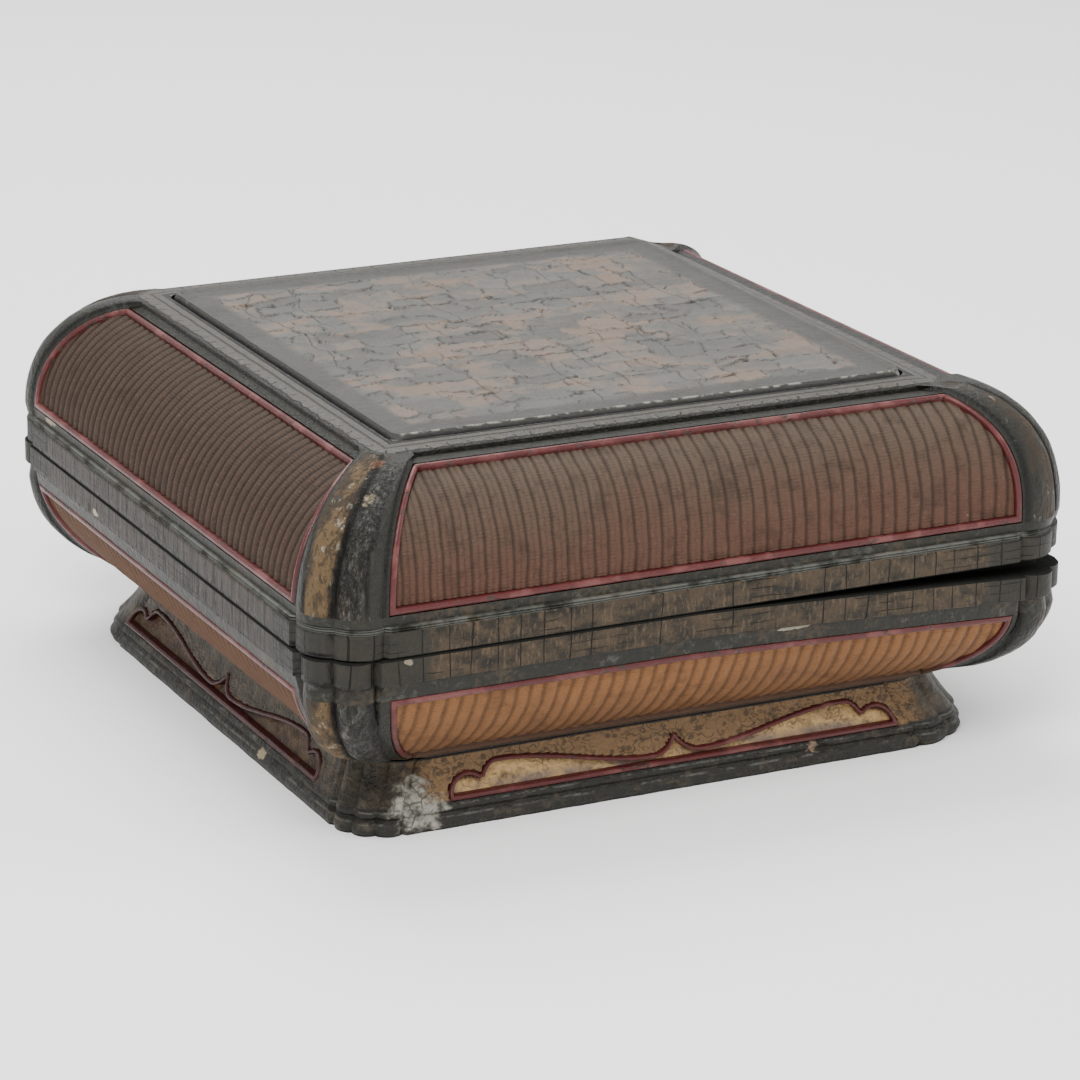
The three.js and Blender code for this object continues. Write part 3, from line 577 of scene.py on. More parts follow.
def board_finish(colours):
    """Top board: grey crackled lacquer in curling flakes, with brownish pink worn gilding, painted
    shade on its fallen outer edge and a broken painted highlight along its front edge.
    """
    f = Finish("board_lacquer")
    seam, tile, across, front = f.mark("seam"), f.mark("tile"), f.out(), -f.y
    gilt = f.noise(24, 5, (1, 1.25, 1), 0.62) * 0.95 + tile * 0.14 + f.noise(4, 5) * 0.3
    gilt = gilt.over(0.66, 0.82)
    edge = across.over(87, 92)
    fine = f.noise(1.4, 5, roughness=0.7)
    streak, cloud = f.noise(10, 5, (0.5, 2.2, 1), 0.65), f.noise(34, 3)
    tone = fine * 0.45 + streak * 0.55 + (tile - 0.5) * 0.3 + (cloud - 0.5) * 0.5
    f.colour = tone.mix((0.034, 0.033, 0.029), (0.125, 0.121, 0.11))
    f.lay(gilt * (1 - edge) * 0.62, tuple(colours.board_gilding))
    f.lay(edge * 0.6, (0.03, 0.029, 0.025))
    scratch = 1 - (f.x + f.noise(40, 3) * 26).off_lines(17, 0.01, 0.08)
    scratch = scratch * f.noise(26, 2, (1, 0.3, 1)).over(0.46, 0.54) * (1 - edge)
    f.lay(scratch * 0.5, (0.03, 0.027, 0.022))
    f.lay((seam + (fine - 0.5) * 0.9).over(0.4, 0.9) * 0.8, (0.016, 0.013, 0.011))
    # Painted shade: black on the board's outer edge, where it falls towards the ledge.
    f.lay(across.over(100.3, 101.0) * 0.95, BLACK)
    # Painted highlight: broken pale glints along the bead of the board's front edge, on the front
    # only.
    glints = across.near(99.9, 0.2, 0.5) * f.noise(2.6, 4).over(0.45, 0.6) * front.over(97, 99)
    f.lay(glints * 0.75, (0.34, 0.33, 0.28))
    f.lay(across.near(97.6, 0.15, 0.5) * front.over(94, 96) * 0.7, (0.012, 0.012, 0.01))
    height = fine + streak * 1.1 - seam * 0.8 - scratch * 0.6
    return f.finish(0.32 + fine * 0.25 + gilt * 0.15, height, 0.6, 0.04, specular=0.25)


def basketry_finish(name, low, high, groove, left, split):
    """Ribbed basketry: darker between the ribs, partly dark lacquer and partly painted shade, with
    fine dotted weft across them. The left and right faces take a darker, warmer colour, partly
    painted shade.
    """
    f = Finish(name)
    rib, share, front = f.mark("rib"), f.mark("share"), f.facing()
    weft = abs((f.mark("arc") * (pi / 1.25)).sine())
    weft = 1 - (1 - weft) * f.noise(3, 3).over(0.35, 0.65)
    speck, blot = f.noise(1.1, 3, roughness=0.7), f.noise(26, 3)
    stain = f.noise(7, 5, roughness=0.65)
    f.colour = (share * split + blot * 0.6 - 0.1).over(0.1, 1.1).mix(low, high)
    # Partly painted shade: a darker, warmer colour on the left and right faces.
    f.lay((1 - front) * 0.8, left)
    f.lay(stain.over(0.5, 0.7) * 0.35, groove)
    f.lay(speck.over(0.5, 0.75) * 0.4, high)
    # Partly painted shade: darker between the ribs, more so on the left and right faces.
    f.lay((1 - rib).over(0.3, 1.0) * (0.95 - front * 0.35), groove)
    f.lay((1 - weft) * 0.2, groove)
    f.lay(f.noise(1.0, 2).over(0.6, 0.7) * rib * 0.3, (0.17, 0.08, 0.055))
    f.lay(f.noise(4, 5, roughness=0.75).over(0.66, 0.74) * 0.3, (0.2, 0.15, 0.12))
    f.lay(f.noise(17, 4, (1, 1, 1.6), 0.65).over(0.54, 0.68) * 0.3, groove)
    return f.finish(0.6 + speck * 0.15, weft * 0.5 + speck * 0.8, 0.3, specular=0.15)


def lid_basketry_finish(colours):
    """Brown basketry of the lid, a little paler towards the crown."""
    return basketry_finish("lid_basketry", tuple(colours.lid_basketry), (0.068, 0.048, 0.034),
                           (0.014, 0.008, 0.005), (0.035, 0.0205, 0.013), 1.0)


def base_basketry_finish(colours):
    """Gilt basketry of the base, browner towards the neck."""
    return basketry_finish("base_basketry", tuple(colours.base_basketry), (0.11, 0.056, 0.028),
                           (0.05, 0.023, 0.01), (0.054, 0.023, 0.0095), 0.6)


def red_finish(colours):
    """Red lacquer fillets, rubbed paler and pinker on the crown, black in the chips, and brown
    along the lower edge of the base's panels. The foot beads on the left and right faces are
    darker, partly painted shade."""
    f = Finish("red_lacquer")
    fine, broad, above_foot = f.noise(1.3, 3), f.noise(13, 3), f.z.over(23, 24)
    f.colour = (broad * 0.7 + fine * 0.3).mix((0.03, 0.006, 0.006), tuple(colours.red_lacquer))
    f.lay(broad.over(0.5, 0.66) * 0.5, (0.16, 0.06, 0.054))
    chip = (f.noise(4, 4) * 0.8 + f.noise(30, 2) * 0.3).over(0.64, 0.7)
    f.lay(chip * 0.85, (0.03, 0.02, 0.015))
    under = above_foot * (1 - f.z.over(27.5, 30)) * 0.85
    f.lay(under, fine.mix((0.035, 0.018, 0.009), (0.075, 0.038, 0.016)))
    # Partly painted shade: darker red on the foot beads of the left and right faces.
    f.lay((1 - f.facing()) * (1 - above_foot) * 0.65, (0.02, 0.007, 0.006))
    return f.finish(0.28 + fine * 0.2 + under * 0.4, fine - chip, 0.2, 0.03, 0.2, 0.3)


def foot_finish(colours):
    """Foot: black reeds with broken glints, an ochre field with dark leafy scrolls, a gilt sunk
    ground with worn patches and painted shade under its upper edge, and a whitish crackled patch
    beside the front left corner. The left and right faces are darker, partly painted shade."""
    f = Finish("foot_lacquer")
    fine, broad, mid = f.noise(1.4, 4), f.noise(20, 3), f.noise(6, 5, (1, 1, 1.2), 0.65)
    side = 1 - f.facing()
    ends = (f.along() + (mid - 0.5) * 14).over(94, 104)
    curl = abs((f.noise(7, 2, (1, 1, 1.4)) * 21).sine()).over(0.1, 0.75)
    leaf = 1 - (1 - curl) * f.noise(9, 4).over(0.36, 0.52)
    spots = f.cells(5, "F1", (1, 1, 1.4)) * 0.9 + f.noise(4, 4, roughness=0.7) * 0.8
    leaf = leaf.atmost(spots.over(0.55, 0.68))
    ochre = (broad * 0.5 + fine * 0.5).mix((0.08, 0.048, 0.024), tuple(colours.foot_ochre))
    ochre = ochre.under((1 - leaf) * 0.65, (0.02, 0.014, 0.009))
    streak = f.noise(5, 5, (1.5, 1.5, 0.35), 0.7)
    dark = mid.over(0.35, 0.7).mix((0.015, 0.014, 0.011), (0.062, 0.051, 0.034))
    dark = dark.under(streak.over(0.55, 0.7) * 0.6, (0.12, 0.085, 0.042))
    # Partly painted shade: the left and right faces take a dark brown with streaks in place of the
    # ochre.
    ochre = ochre.under(side * 0.9, dark).under(ends * 0.9, dark)

    black = fine.mix(BLACK, WORN_BLACK).under(mid.over(0.52, 0.66) * 0.5, (0.07, 0.055, 0.035))
    glint = f.z.near(4.4, 0.1, 0.5).atleast(f.z.near(8.0, 0.1, 0.4))
    glint = glint * f.noise(11, 5, (1, 1, 3), 0.75).over(0.48, 0.6)
    black = black.under(glint * 0.45, (0.14, 0.137, 0.12))
    f.colour = f.z.over(8.8, 9.6).mix(black, ochre)

    away_x, away_z = (f.x + 102) / 12, (f.z - 9) / 11
    pale = 1 - away_x * away_x - away_z * away_z + (mid - 0.5) * 3.2
    pale = pale.over(0.2, 1.0) * (-f.y).over(95, 105)
    white = (fine * 0.3 + mid * 0.7).over(0.3, 0.62)
    f.lay(pale * 0.8, white.mix((0.06, 0.055, 0.044), (0.34, 0.33, 0.28)))
    f.lay(f.z.over(22.6, 23.0), (0.008, 0.007, 0.006))

    ground = (mid * 0.9 + fine * 0.3).over(0.3, 0.72)
    ground = ground.mix((0.05, 0.028, 0.014), tuple(colours.foot_gilding))
    curled = (1 - curl) * f.noise(12, 3).over(0.45, 0.6)
    ground = ground.under(curled * 0.6, (0.05, 0.035, 0.02))
    low = broad.over(0.45, 0.6) * (1 - f.z.over(11, 14))
    ground = ground.under(low * 0.7, (0.13, 0.1, 0.1))
    # Painted shade: dark red below the upper edge of each sunk panel.
    ground = ground.under(f.mark("brow_shade") * 0.85, (0.05, 0.009, 0.008))
    # Partly painted shade: a duller, darker sunk ground on the left and right faces.
    dull = mid.over(0.4, 0.6).mix((0.016, 0.007, 0.006), (0.035, 0.022, 0.014))
    f.lay(f.mark("sunk").over(0.4, 0.6), ground.under(side * 0.9, dull))

    crack = f.cells(5, "DISTANCE_TO_EDGE").over(0.0, 0.07)
    crack = 1 - (1 - crack) * (pale * 0.7 + 0.12) * f.noise(5, 2).over(0.35, 0.5)
    f.lay((1 - crack) * 0.85, (0.02, 0.018, 0.014))
    f.lay(f.spot((54, -125, 6.8), (3.4, 9, 2.4)) * 0.8, (0.2, 0.135, 0.085))
    f.lay(f.spot((-125, 8, 11.5), (9, 2.6, 2.2)) * 0.8, (0.24, 0.06, 0.02))
    f.lay(f.spot((-127, -47, 5.0), (6, 3.4, 2.2)) * 0.8, (0.3, 0.24, 0.15))
    f.lay(f.spot((-121, 76, 15), (9, 9, 4)) * 0.6, (0.06, 0.02, 0.012))
    height = crack * 0.5 + mid * 1.8 + fine * 0.5 + streak * ends * 0.8
    return f.finish(0.34 + fine * 0.3, height, 1.0, specular=0.22)


MAKERS = {
    "lacquer": lacquer_finish,
    "post": post_finish,
    "band": band_finish,
    "ledge": ledge_finish,
    "board": board_finish,
    "red": red_finish,
    "foot": foot_finish,
    "inside": inside_finish,
    "lid_basketry": lid_basketry_finish,
    "base_basketry": base_basketry_finish,
}
FINISHES = {}


def finish_of(name):
    """Each material is made once."""
    if name not in FINISHES:
        FINISHES[name] = MAKERS[name](bpy.context.scene.lacquer_box)
    return FINISHES[name]


def make_piece(name, points, faces, finishes, smooth_angle, node,
               face_finish=None, marks=None):
    """A mesh object from points in millimetres, its faces, materials and per-point marks. It
    replaces a node of the plain model."""
    mesh = bpy.data.meshes.new(name)
    faces = np.asarray(faces, dtype=np.int32)
    mesh.vertices.add(len(points))
    mesh.vertices.foreach_set("co", (np.asarray(points) * MM).astype(np.float32).ravel())
    mesh.loops.add(faces.size)
    mesh.loops.foreach_set("vertex_index", faces.ravel())
    mesh.polygons.add(len(faces))
    starts = np.arange(0, faces.size, faces.shape[1], dtype=np.int32)
    mesh.polygons.foreach_set("loop_start", starts)
    mesh.update(calc_edges=True)
    for finish in finishes:
        mesh.materials.append(finish_of(finish))
    if face_finish is not None:
        mesh.polygons.foreach_set("material_index", np.asarray(face_finish, dtype=np.int32))
    for key, values in (marks or {}).items():
        mark = mesh.attributes.new(key, "FLOAT", "POINT")
        mark.data.foreach_set("value", np.asarray(values, dtype=np.float32))
    mesh.validate()
    mesh.shade_smooth()
    mesh.set_sharp_from_angle(angle=radians(smooth_angle))
    piece = bpy.data.objects.new(name, mesh)
    bpy.context.scene.collection.objects.link(piece)
    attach(piece, "root")
    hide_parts(node)


def ring_faces(rows, columns):
    """Quads of a grid that closes on itself both ways."""
    r, c = np.meshgrid(np.arange(rows), np.arange(columns), indexing="ij")
    r2, c2 = (r + 1) % rows, (c + 1) % columns
    quads = [r * columns + c, r * columns + c2, r2 * columns + c2, r2 * columns + c]
    return np.stack(quads, axis=-1).reshape(-1, 4)


def grid_faces(rows, columns):
    """Quads of an open grid, row by row."""
    r, c = np.meshgrid(np.arange(rows - 1), np.arange(columns - 1), indexing="ij")
    a = r * columns + c
    return np.stack([a, a + 1, a + columns + 1, a + columns], axis=-1).reshape(-1, 4)


def sheet_faces(rows, columns):
    """A closed sheet: a front grid, a back grid turned over, and strips that join their borders."""
    front = grid_faces(rows, columns)
    count = rows * columns
    back = front[:, ::-1] + count
    border = np.concatenate([
        np.arange(columns),
        np.arange(1, rows) * columns + columns - 1,
        (rows - 1) * columns + np.arange(columns - 2, -1, -1),
        np.arange(rows - 2, 0, -1) * columns,
    ])
    after = np.roll(border, -1)
    strip = np.stack([after, border, border + count, after + count], axis=1)
    return np.concatenate([front, back, strip])


# Zones of a frame's rows, which are also the places of their finishes in its list of materials
PLAIN, POST, BAND, INSIDE, TOP = range(5)


def frame_piece(node, rows, warp, seed, finishes, weights):
    """A closed ring of rows round the box, each a zone, a station and a corner. In the corners the
    roughening and the wear are weighted per corner. The face between two rows takes the lower
    zone of the two, except that the inside wins over all."""
    points = np.concatenate([outline(station, corner) for _, station, corner in rows])
    zone = np.array([row[0] for row in rows])
    columns = columns_of(FLAT_STEPS)
    corner, share = column_marks()
    corner_weight = np.repeat(weights, columns // 4)
    curved = np.where(zone == POST, 1.0, 0.0)
    lobed = np.outer(curved, corner * (0.35 + 0.65 * np.sin(np.pi * share)))
    wear = (lobed * corner_weight * np.where(share > 0.5, 0.55, 1.0)).ravel()
    away = points * [1, 1, 0]
    away /= np.maximum(np.linalg.norm(away, axis=1), 1)[:, None]
    outer = np.repeat(np.where(zone == INSIDE, 0.0, 1.0), columns)
    lift = -0.12 * outer * (1 + rough(points, 18, seed))
    lift -= 0.45 * wear * (0.6 + rough(points * [1, 1, 0.5], 9, seed + 1))
    points = warp(points + away * np.minimum(lift, 0)[:, None])
    after = np.roll(zone, -1)
    inner = (zone == INSIDE) | (after == INSIDE)
    face_zone = np.repeat(np.where(inner, INSIDE, np.minimum(zone, after)), columns)
    groove = 1 - np.abs(np.sin(2 * pi * share)) ** LOBE_ROUNDNESS
    groove = np.outer(curved, np.where(corner > 0, groove, 0)).ravel()
    make_piece(node + "_finish", points, ring_faces(len(rows), columns), finishes, 38, node,
               face_finish=face_zone, marks={"wear": wear, "groove": groove})


def lid_frame():
    """Lid frame: band, two beads, strip, curved posts, rail, ledge and the hollow inside."""
    ledge, beside_board = plain_corner(14), plain_corner(11)
    seat, inner = plain_corner(6.3), plain_corner(9)
    rows = []

    def add(zone, station, corner=LID_CORNER):
        rows.append((zone, station, corner))

    for z in (LID_BOTTOM + 0.5, 76.5, 79, 81.5, BAND_TOP - 0.6):
        add(BAND, level(RIM, z))
    add(BAND, level(RIM - 0.4, BAND_TOP))
    bead_depth, bead_crown, bead_half = RIM - 1.2, 0.8, 0.45
    for centre in (BAND_TOP + 0.65, BAND_TOP + 1.6):
        for a in np.linspace(-0.9, 0.9, 5):
            depth = bead_depth + bead_crown * cos(a * QUARTER)
            add(PLAIN, level(depth, centre + bead_half * a))
    add(PLAIN, level(LID_RIM, BAND_TOP + 2.3, LID_RIM + LID_POST_PROUD))

    lid = (lid_side, lid_post, LID_END)
    span = shares(*LID_SPAN, 34)
    add(POST, sunk_station(*lid, span[0], 0))
    for share in span:
        add(POST, sunk_station(*lid, share, RECESS))
    add(POST, sunk_station(*lid, span[-1], 0))

    rail, rail_z = [], LEDGE_TOP - LEDGE_STEP
    for turn in range(4):
        depth, z, _ = (v[0] for v in lid_post(turn, span[-1]))
        rail.append((LEDGE, rail_z, NO_PANEL, LEDGE, rail_z,
                     blend(LEDGE, depth, 0.4), blend(LEDGE_TOP, z, 0.4), 0))
    add(POST, rail, ledge)
    add(TOP, level(LEDGE, LEDGE_TOP - 0.5, post_z=LEDGE_TOP - 0.2), ledge)
    add(TOP, level(LEDGE - 0.6, LEDGE_TOP), ledge)
    add(TOP, level(108, LEDGE_TOP + 0.2), beside_board)
    add(TOP, level(BOARD + GAP, LEDGE_TOP + LEDGE_RISE), seat)

    seat_z = BOARD_TOP - BOARD_THICK - GAP
    add(INSIDE, level(BOARD + GAP, seat_z), seat)
    add(INSIDE, level(BOARD - SEAT_WIDTH, seat_z), seat)
    add(INSIDE, level(BOARD - SEAT_WIDTH, seat_z - SEAT_THICK), seat)
    top = (seat_z - SEAT_THICK - LID_CENTRE) / LID_INSIDE[2]
    for share in shares(0, top, 16)[::-1]:
        depth, z, _ = (v[0] for v in curve(LID_CENTRE, *LID_INSIDE, share, 1))
        add(INSIDE, level(depth, z), inner)
    add(INSIDE, level(LID_INSIDE[0], LID_BOTTOM), inner)
    add(INSIDE, level(RIM - 0.5, LID_BOTTOM))
    frame_piece("lid_frame", rows, settle, 11, ["lacquer", "post", "band", "inside", "ledge"],
                (0.8, 1.0, 0.8, 1.0))


def base_frame():
    """Base frame: neck, curved posts, strip, band, rim, inner lip and the hollow inside."""
    inner = plain_corner(9)
    rows = []

    def add(zone, station, corner=BASE_CORNER):
        rows.append((zone, station, corner))

    def toes(share):
        return smooth((BASE_SPAN[1] - share) / 0.07)

    add(INSIDE, level(NECK_HOLE, BASE_BOTTOM), inner)
    add(PLAIN, level(FOOT_NECK, BASE_BOTTOM))
    base = (base_side, base_post, BASE_END)
    span = shares(*BASE_SPAN, 30)[::-1]
    add(POST, sunk_station(*base, span[0], 0, toes))
    for share in span:
        add(POST, sunk_station(*base, share, RECESS, toes))
    add(POST, sunk_station(*base, span[-1], 0, toes))
    add(PLAIN, level(RIM - 1.6, 64.2))
    add(BAND, level(RIM - 0.4, 64.7))
    for z in (65.3, 68, 71, PARTING - 0.6):
        add(BAND, level(RIM, z))
    add(INSIDE, level(RIM - 0.6, PARTING))
    for depth, z in BASE_LIP:
        add(INSIDE, level(depth, z), inner)
    for share in shares(0, 1, 14):
        depth, z, _ = (v[0] for v in curve(BASE_CENTRE, *BASE_INSIDE, share, -1))
        add(INSIDE, level(depth, z), inner)
    for depth in (FLOOR_EDGE, NECK_HOLE):
        add(INSIDE, level(depth, FLOOR_SEAT), inner)
    frame_piece("base_frame", rows, sag, 23, ["lacquer", "post", "band", "inside"],
                (0.7, 0.8, 0.7, 1.0))


def cusp_height(x):
    """Upper edge of the sunk foot panel above its sill: a point in the middle, a long slope up to
    a shoulder, a notch and a round end."""
    saddle, point_half, point_height, point_power = 4.1, 10, 5.8, 2.6
    slope_rise, slope_run = 7.0, 58
    shoulder_end, round_from, round_run, round_drop = 68, 70, 6.3, 4.6
    lobe_from, lobe_middle, lobe_half, lobe_height = 76.3, 81.6, 8.2, 8.4
    a = np.abs(x)
    point = saddle + point_height * np.clip(1 - a / point_half, 0, 1) ** point_power
    slope = saddle + slope_rise * smooth((a - point_half) / slope_run)
    rounding = round_drop * np.clip((a - round_from) / round_run, 0, 1) ** 2
    slope = np.where(a > shoulder_end, saddle + slope_rise - rounding, slope)
    lobe = lobe_height * np.sqrt(np.clip(1 - ((a - lobe_middle) / lobe_half) ** 2, 0, 1))
    height = np.where(a < point_half, point, slope)
    return np.where(a > lobe_from, lobe, height)


def foot_depth(z):
    """The foot's concave flare: out from the neck with a power of the way down."""
    down = np.clip((FOOT_TOP - z) / (FOOT_TOP - REEDS_TOP), 0, 1)
    return blend(FOOT_NECK, FOOT_FLARE, down**1.4)


def foot_frame():
    """Foot: two reeds, a concave flare with a cusped panel sunk in each face, fluted corners."""
    inner = plain_corner(9)
    low = [(FOOT_HALF - 0.8, 0.0)]
    # Each reed: its depth without the crown, the crown, the middle height, half height, its run
    for depth, crown, middle, half, run in (
        (FOOT_HALF - 1.3, 1.3, 2.5, 2.5, np.linspace(-0.75, 0.85, 7)),
        (FOOT_HALF - 2.6, 1.1, 6.9, 1.6, np.linspace(-0.75, 1.0, 6)),
    ):
        low += [(depth + crown * cos(a * QUARTER), middle + half * a) for a in run]
    flare = np.linspace(REEDS_TOP + 0.1, FOOT_TOP, 30)
    rows = [(level(FOOT_HALF - FOOT_WALL, 0), inner)]
    rows += [(level(depth, z), FOOT_CORNER) for depth, z in low]
    rows += [(level(float(foot_depth(z)), z), FOOT_CORNER) for z in flare]
    rows.append((level(FOOT_NECK - FOOT_WALL, FOOT_TOP), inner))
    points = np.concatenate([outline(*row, FOOT_FLAT_STEPS) for row in rows])

    x, y, z = points.T
    panel_half, panel_sunk, chip_deep = 89.5, 2.6, 2.2
    wide = np.abs(y) > np.abs(x)
    run = np.where(wide, x, y)
    depth = np.where(wide, np.abs(y), np.abs(x))
    sill = REEDS_TOP + 0.5
    top = sill + cusp_height(run)
    inside = smooth((top - z) / 0.5) * smooth((z - sill) / 0.3)
    inside *= np.abs(run) < panel_half
    inside *= depth > foot_depth(z) - 1
    # Painted shade: a band below the upper edge of the sunk panel, marked for a dark red.
    brow_width = 0.8 + 1.8 * smooth((np.abs(run) - 73) / 4)
    brow_shade = inside * (1 - smooth((top - z - brow_width) / 1.1))
    ways = np.stack([0 * x, np.sign(y), 0 * x], 1), np.stack([np.sign(x), 0 * x, 0 * x], 1)
    sideways = np.where(wide[:, None], *ways)
    shown = depth > foot_depth(np.maximum(z, REEDS_TOP)) - 4
    lift = -panel_sunk * inside - 0.35 * shown * (1 + rough(points, 12, 31)) * 0.6
    chip = np.exp(-(((x - 57) / 3.2) ** 2 + ((y + 127) / 6) ** 2 + ((z - 7.2) / 2.6) ** 2))
    points = points + sideways * (lift - chip_deep * chip)[:, None]
    make_piece("foot_finish", points, ring_faces(len(rows), columns_of(FOOT_FLAT_STEPS)), ["foot"],
               45, "foot_frame", marks={"sunk": inside, "brow_shade": brow_shade})


def basketry(node, side, end, span, turn, warp, rib_pitch, pairs, rows, finish):
    """Ribbed sheet: columns run up the swell at even steps of x. Each rib is a raised cosine of the
    pitch's width, and pairs says how deeply a second, finer groove splits it in two."""
    inset = 2 * GAP + FILLET_WIDTH
    share = shares(*span, rows)
    depth, z, normal = side(turn, share)
    step = np.hypot(np.gradient(depth), np.gradient(z))
    arc = np.concatenate([[0], np.cumsum((step[1:] + step[:-1]) / 2)])
    keep = np.interp(np.linspace(inset, arc[-1] - inset, rows + 1), arc, np.arange(rows + 1))
    depth, z, arc_here, out, up, share = (
        np.interp(keep, np.arange(rows + 1), v) for v in (depth, z, arc, *normal.T, share))
    half = panel_end(end, share) - inset
    ribs = int(round(2 * half.max() / rib_pitch))
    u = np.linspace(-1, 1, ribs * (12 if pairs[turn] > 0.5 else 8) + 1)
    widest = half.max()
    x = np.clip(u * widest, -half[:, None], half[:, None])
    places = np.stack([x.ravel(), 0 * x.ravel(), np.repeat(arc_here, x.shape[1])], axis=1)
    turns = (x + 0.4 * rough(places, 14, 15 + turn).reshape(x.shape)) / rib_pitch * 2 * pi
    split = pairs[turn] * blend(1.2, 0.6, (u + 1) / 2)
    paired = (0.5 - 0.5 * np.cos(2 * turns)) * (0.85 - 0.15 * np.cos(turns))
    crown = np.clip(blend(0.5 - 0.5 * np.cos(turns), paired, split), 0, 1) ** 0.75
    weave = 0.5 + 0.5 * np.sin(arc_here * 2 * pi / 2.6)[:, None]
    flat = np.stack(np.broadcast_arrays(x, -depth[:, None], z[:, None]), -1)
    wobble = rough(flat.reshape(-1, 3), 30, 5 + turn).reshape(x.shape)
    valley, rib_height = -1.7, 0.6
    lift = valley + rib_height * crown + 0.06 * weave * crown + 0.15 * wobble
    n = np.stack([0 * out, -out, up], axis=1)
    front = flat + n[:, None, :] * lift[..., None]
    back = flat - n[:, None, :] * (RECESS - GAP)
    points = np.concatenate([front.reshape(-1, 3), back.reshape(-1, 3)])
    faces = sheet_faces(*x.shape)
    if z[-1] < z[0]:
        faces = faces[:, ::-1]
    up_panel = np.linspace(0, 1, len(depth))
    fields = {"rib": crown, "share": up_panel[:, None], "arc": arc_here[:, None]}
    marks = {key: np.tile((v * np.ones(x.shape)).ravel(), 2) for key, v in fields.items()}
    make_piece(node + "_finish", warp(turned(points, turn)), faces, [finish], 80, node,
               marks=marks)


def swept(node, path, section, warp, turn, chips=0.0, seed=1):
    """A bar swept round a closed border. path(inset, lift) gives the border's points drawn in by
    inset and raised by lift; section is a closed list of (inset, lift)."""
    loops = np.stack([path(inset, lift) for inset, lift in section])
    points = loops.reshape(-1, 3)
    if chips:
        bite = np.clip(rough(points, 16, seed) - 0.75, 0, 1) * chips
        points = points * (1 - bite[:, None] * [0.004, 0.004, 0])
    faces = ring_faces(*loops.shape[:2])
    a, b, c = points[faces[:, 0]], points[faces[:, 1]], points[faces[:, 2]]
    if np.einsum("ij,ij->", np.cross(a, b), c) < 0:
        faces = faces[:, ::-1]
    make_piece(node + "_finish", warp(turned(points, turn)), faces, ["red"], 50, node)


def bar_section(start, width, floor, top):
    """Section of a bar: flat underneath, with a rounded crown."""
    crown = [(start + width / 2 - width / 2 * cos(a), top - 0.9 + 0.9 * sin(a))
             for a in np.linspace(0, pi, 9)]
    return [(start, floor)] + crown + [(start + width, floor)]


def fillet(node, side, end, span, turn, warp, seed):
    """Red fillet round a panel: a crowned bar that follows the panel's curved ends."""
    share = shares(*span, 30)
    depth, z, normal = side(turn, share)
    half = panel_end(end, share)
    up = np.sign(z[-1] - z[0])

    def path(inset, lift):
        slide = np.zeros(len(share))
        slide[0], slide[-1] = inset, -inset
        y = -(depth + lift * normal[:, 0] - up * slide * normal[:, 1])
        height = z + lift * normal[:, 1] + up * slide * normal[:, 0]
        ends = [np.stack([hand * (half - inset), y, height], axis=1) for hand in (1, -1)]
        along = np.linspace(0, 1, 42)[1:-1, None]
        far, close = (blend(ends[0][i], ends[1][i], along) for i in (-1, 0))
        return np.concatenate([ends[0], far, ends[1][::-1], close[::-1]])

    section = bar_section(GAP, FILLET_WIDTH, GAP - RECESS, FILLET_PROUD)
    swept(node, path, section, warp, turn, 0.6, seed)


def panels(half, side, end, span, warp, rib_pitch, pairs, rows, seed):
    """The four basketry panels and fillets of the lid or of the base."""
    for turn, where in enumerate(SIDES):
        basketry(f"{half}_basketry_{where}", side, end, span, turn, warp, rib_pitch, pairs, rows,
                 f"{half}_basketry")
        fillet(f"{half}_fillet_{where}", side, end, span, turn, warp, seed + turn)


def cusp_bead(turn):
    """Red bead round the sunk foot panel, following its cusped outline."""
    stretches = ((0, 10, 12), (12, 68, 16), (69, 76, 8), (76.8, 89.4, 18))
    half = np.concatenate([np.linspace(*stretch) for stretch in stretches])
    sill = REEDS_TOP + 0.4
    upper = np.stack([half, sill + cusp_height(half)], axis=1)
    upper = np.concatenate([upper, [[89.7, sill]]])
    border = np.concatenate([upper[::-1], upper[1:] * [-1, 1]])

    def path(inset, lift):
        ways = [border - np.roll(border, 1, axis=0), np.roll(border, -1, axis=0) - border]
        ways = [w / np.maximum(np.linalg.norm(w, axis=1), 1e-6)[:, None] for w in ways]
        inward = np.stack([-(ways[0] + ways[1])[:, 1], (ways[0] + ways[1])[:, 0]], axis=1)
        inward /= np.maximum(np.linalg.norm(inward, axis=1), 1e-6)[:, None]
        mitre = np.maximum(0.5, inward[:, 1] * ways[0][:, 0] - inward[:, 0] * ways[0][:, 1])
        p = border + inward * (inset / mitre)[:, None]
        return np.stack([p[:, 0], -foot_depth(p[:, 1]) - lift, p[:, 1]], axis=1)

    section = bar_section(0.0, 1.5, -2.4, 0.45)
    swept(f"foot_bead_{SIDES[turn]}", path, section, lambda p: p, turn)


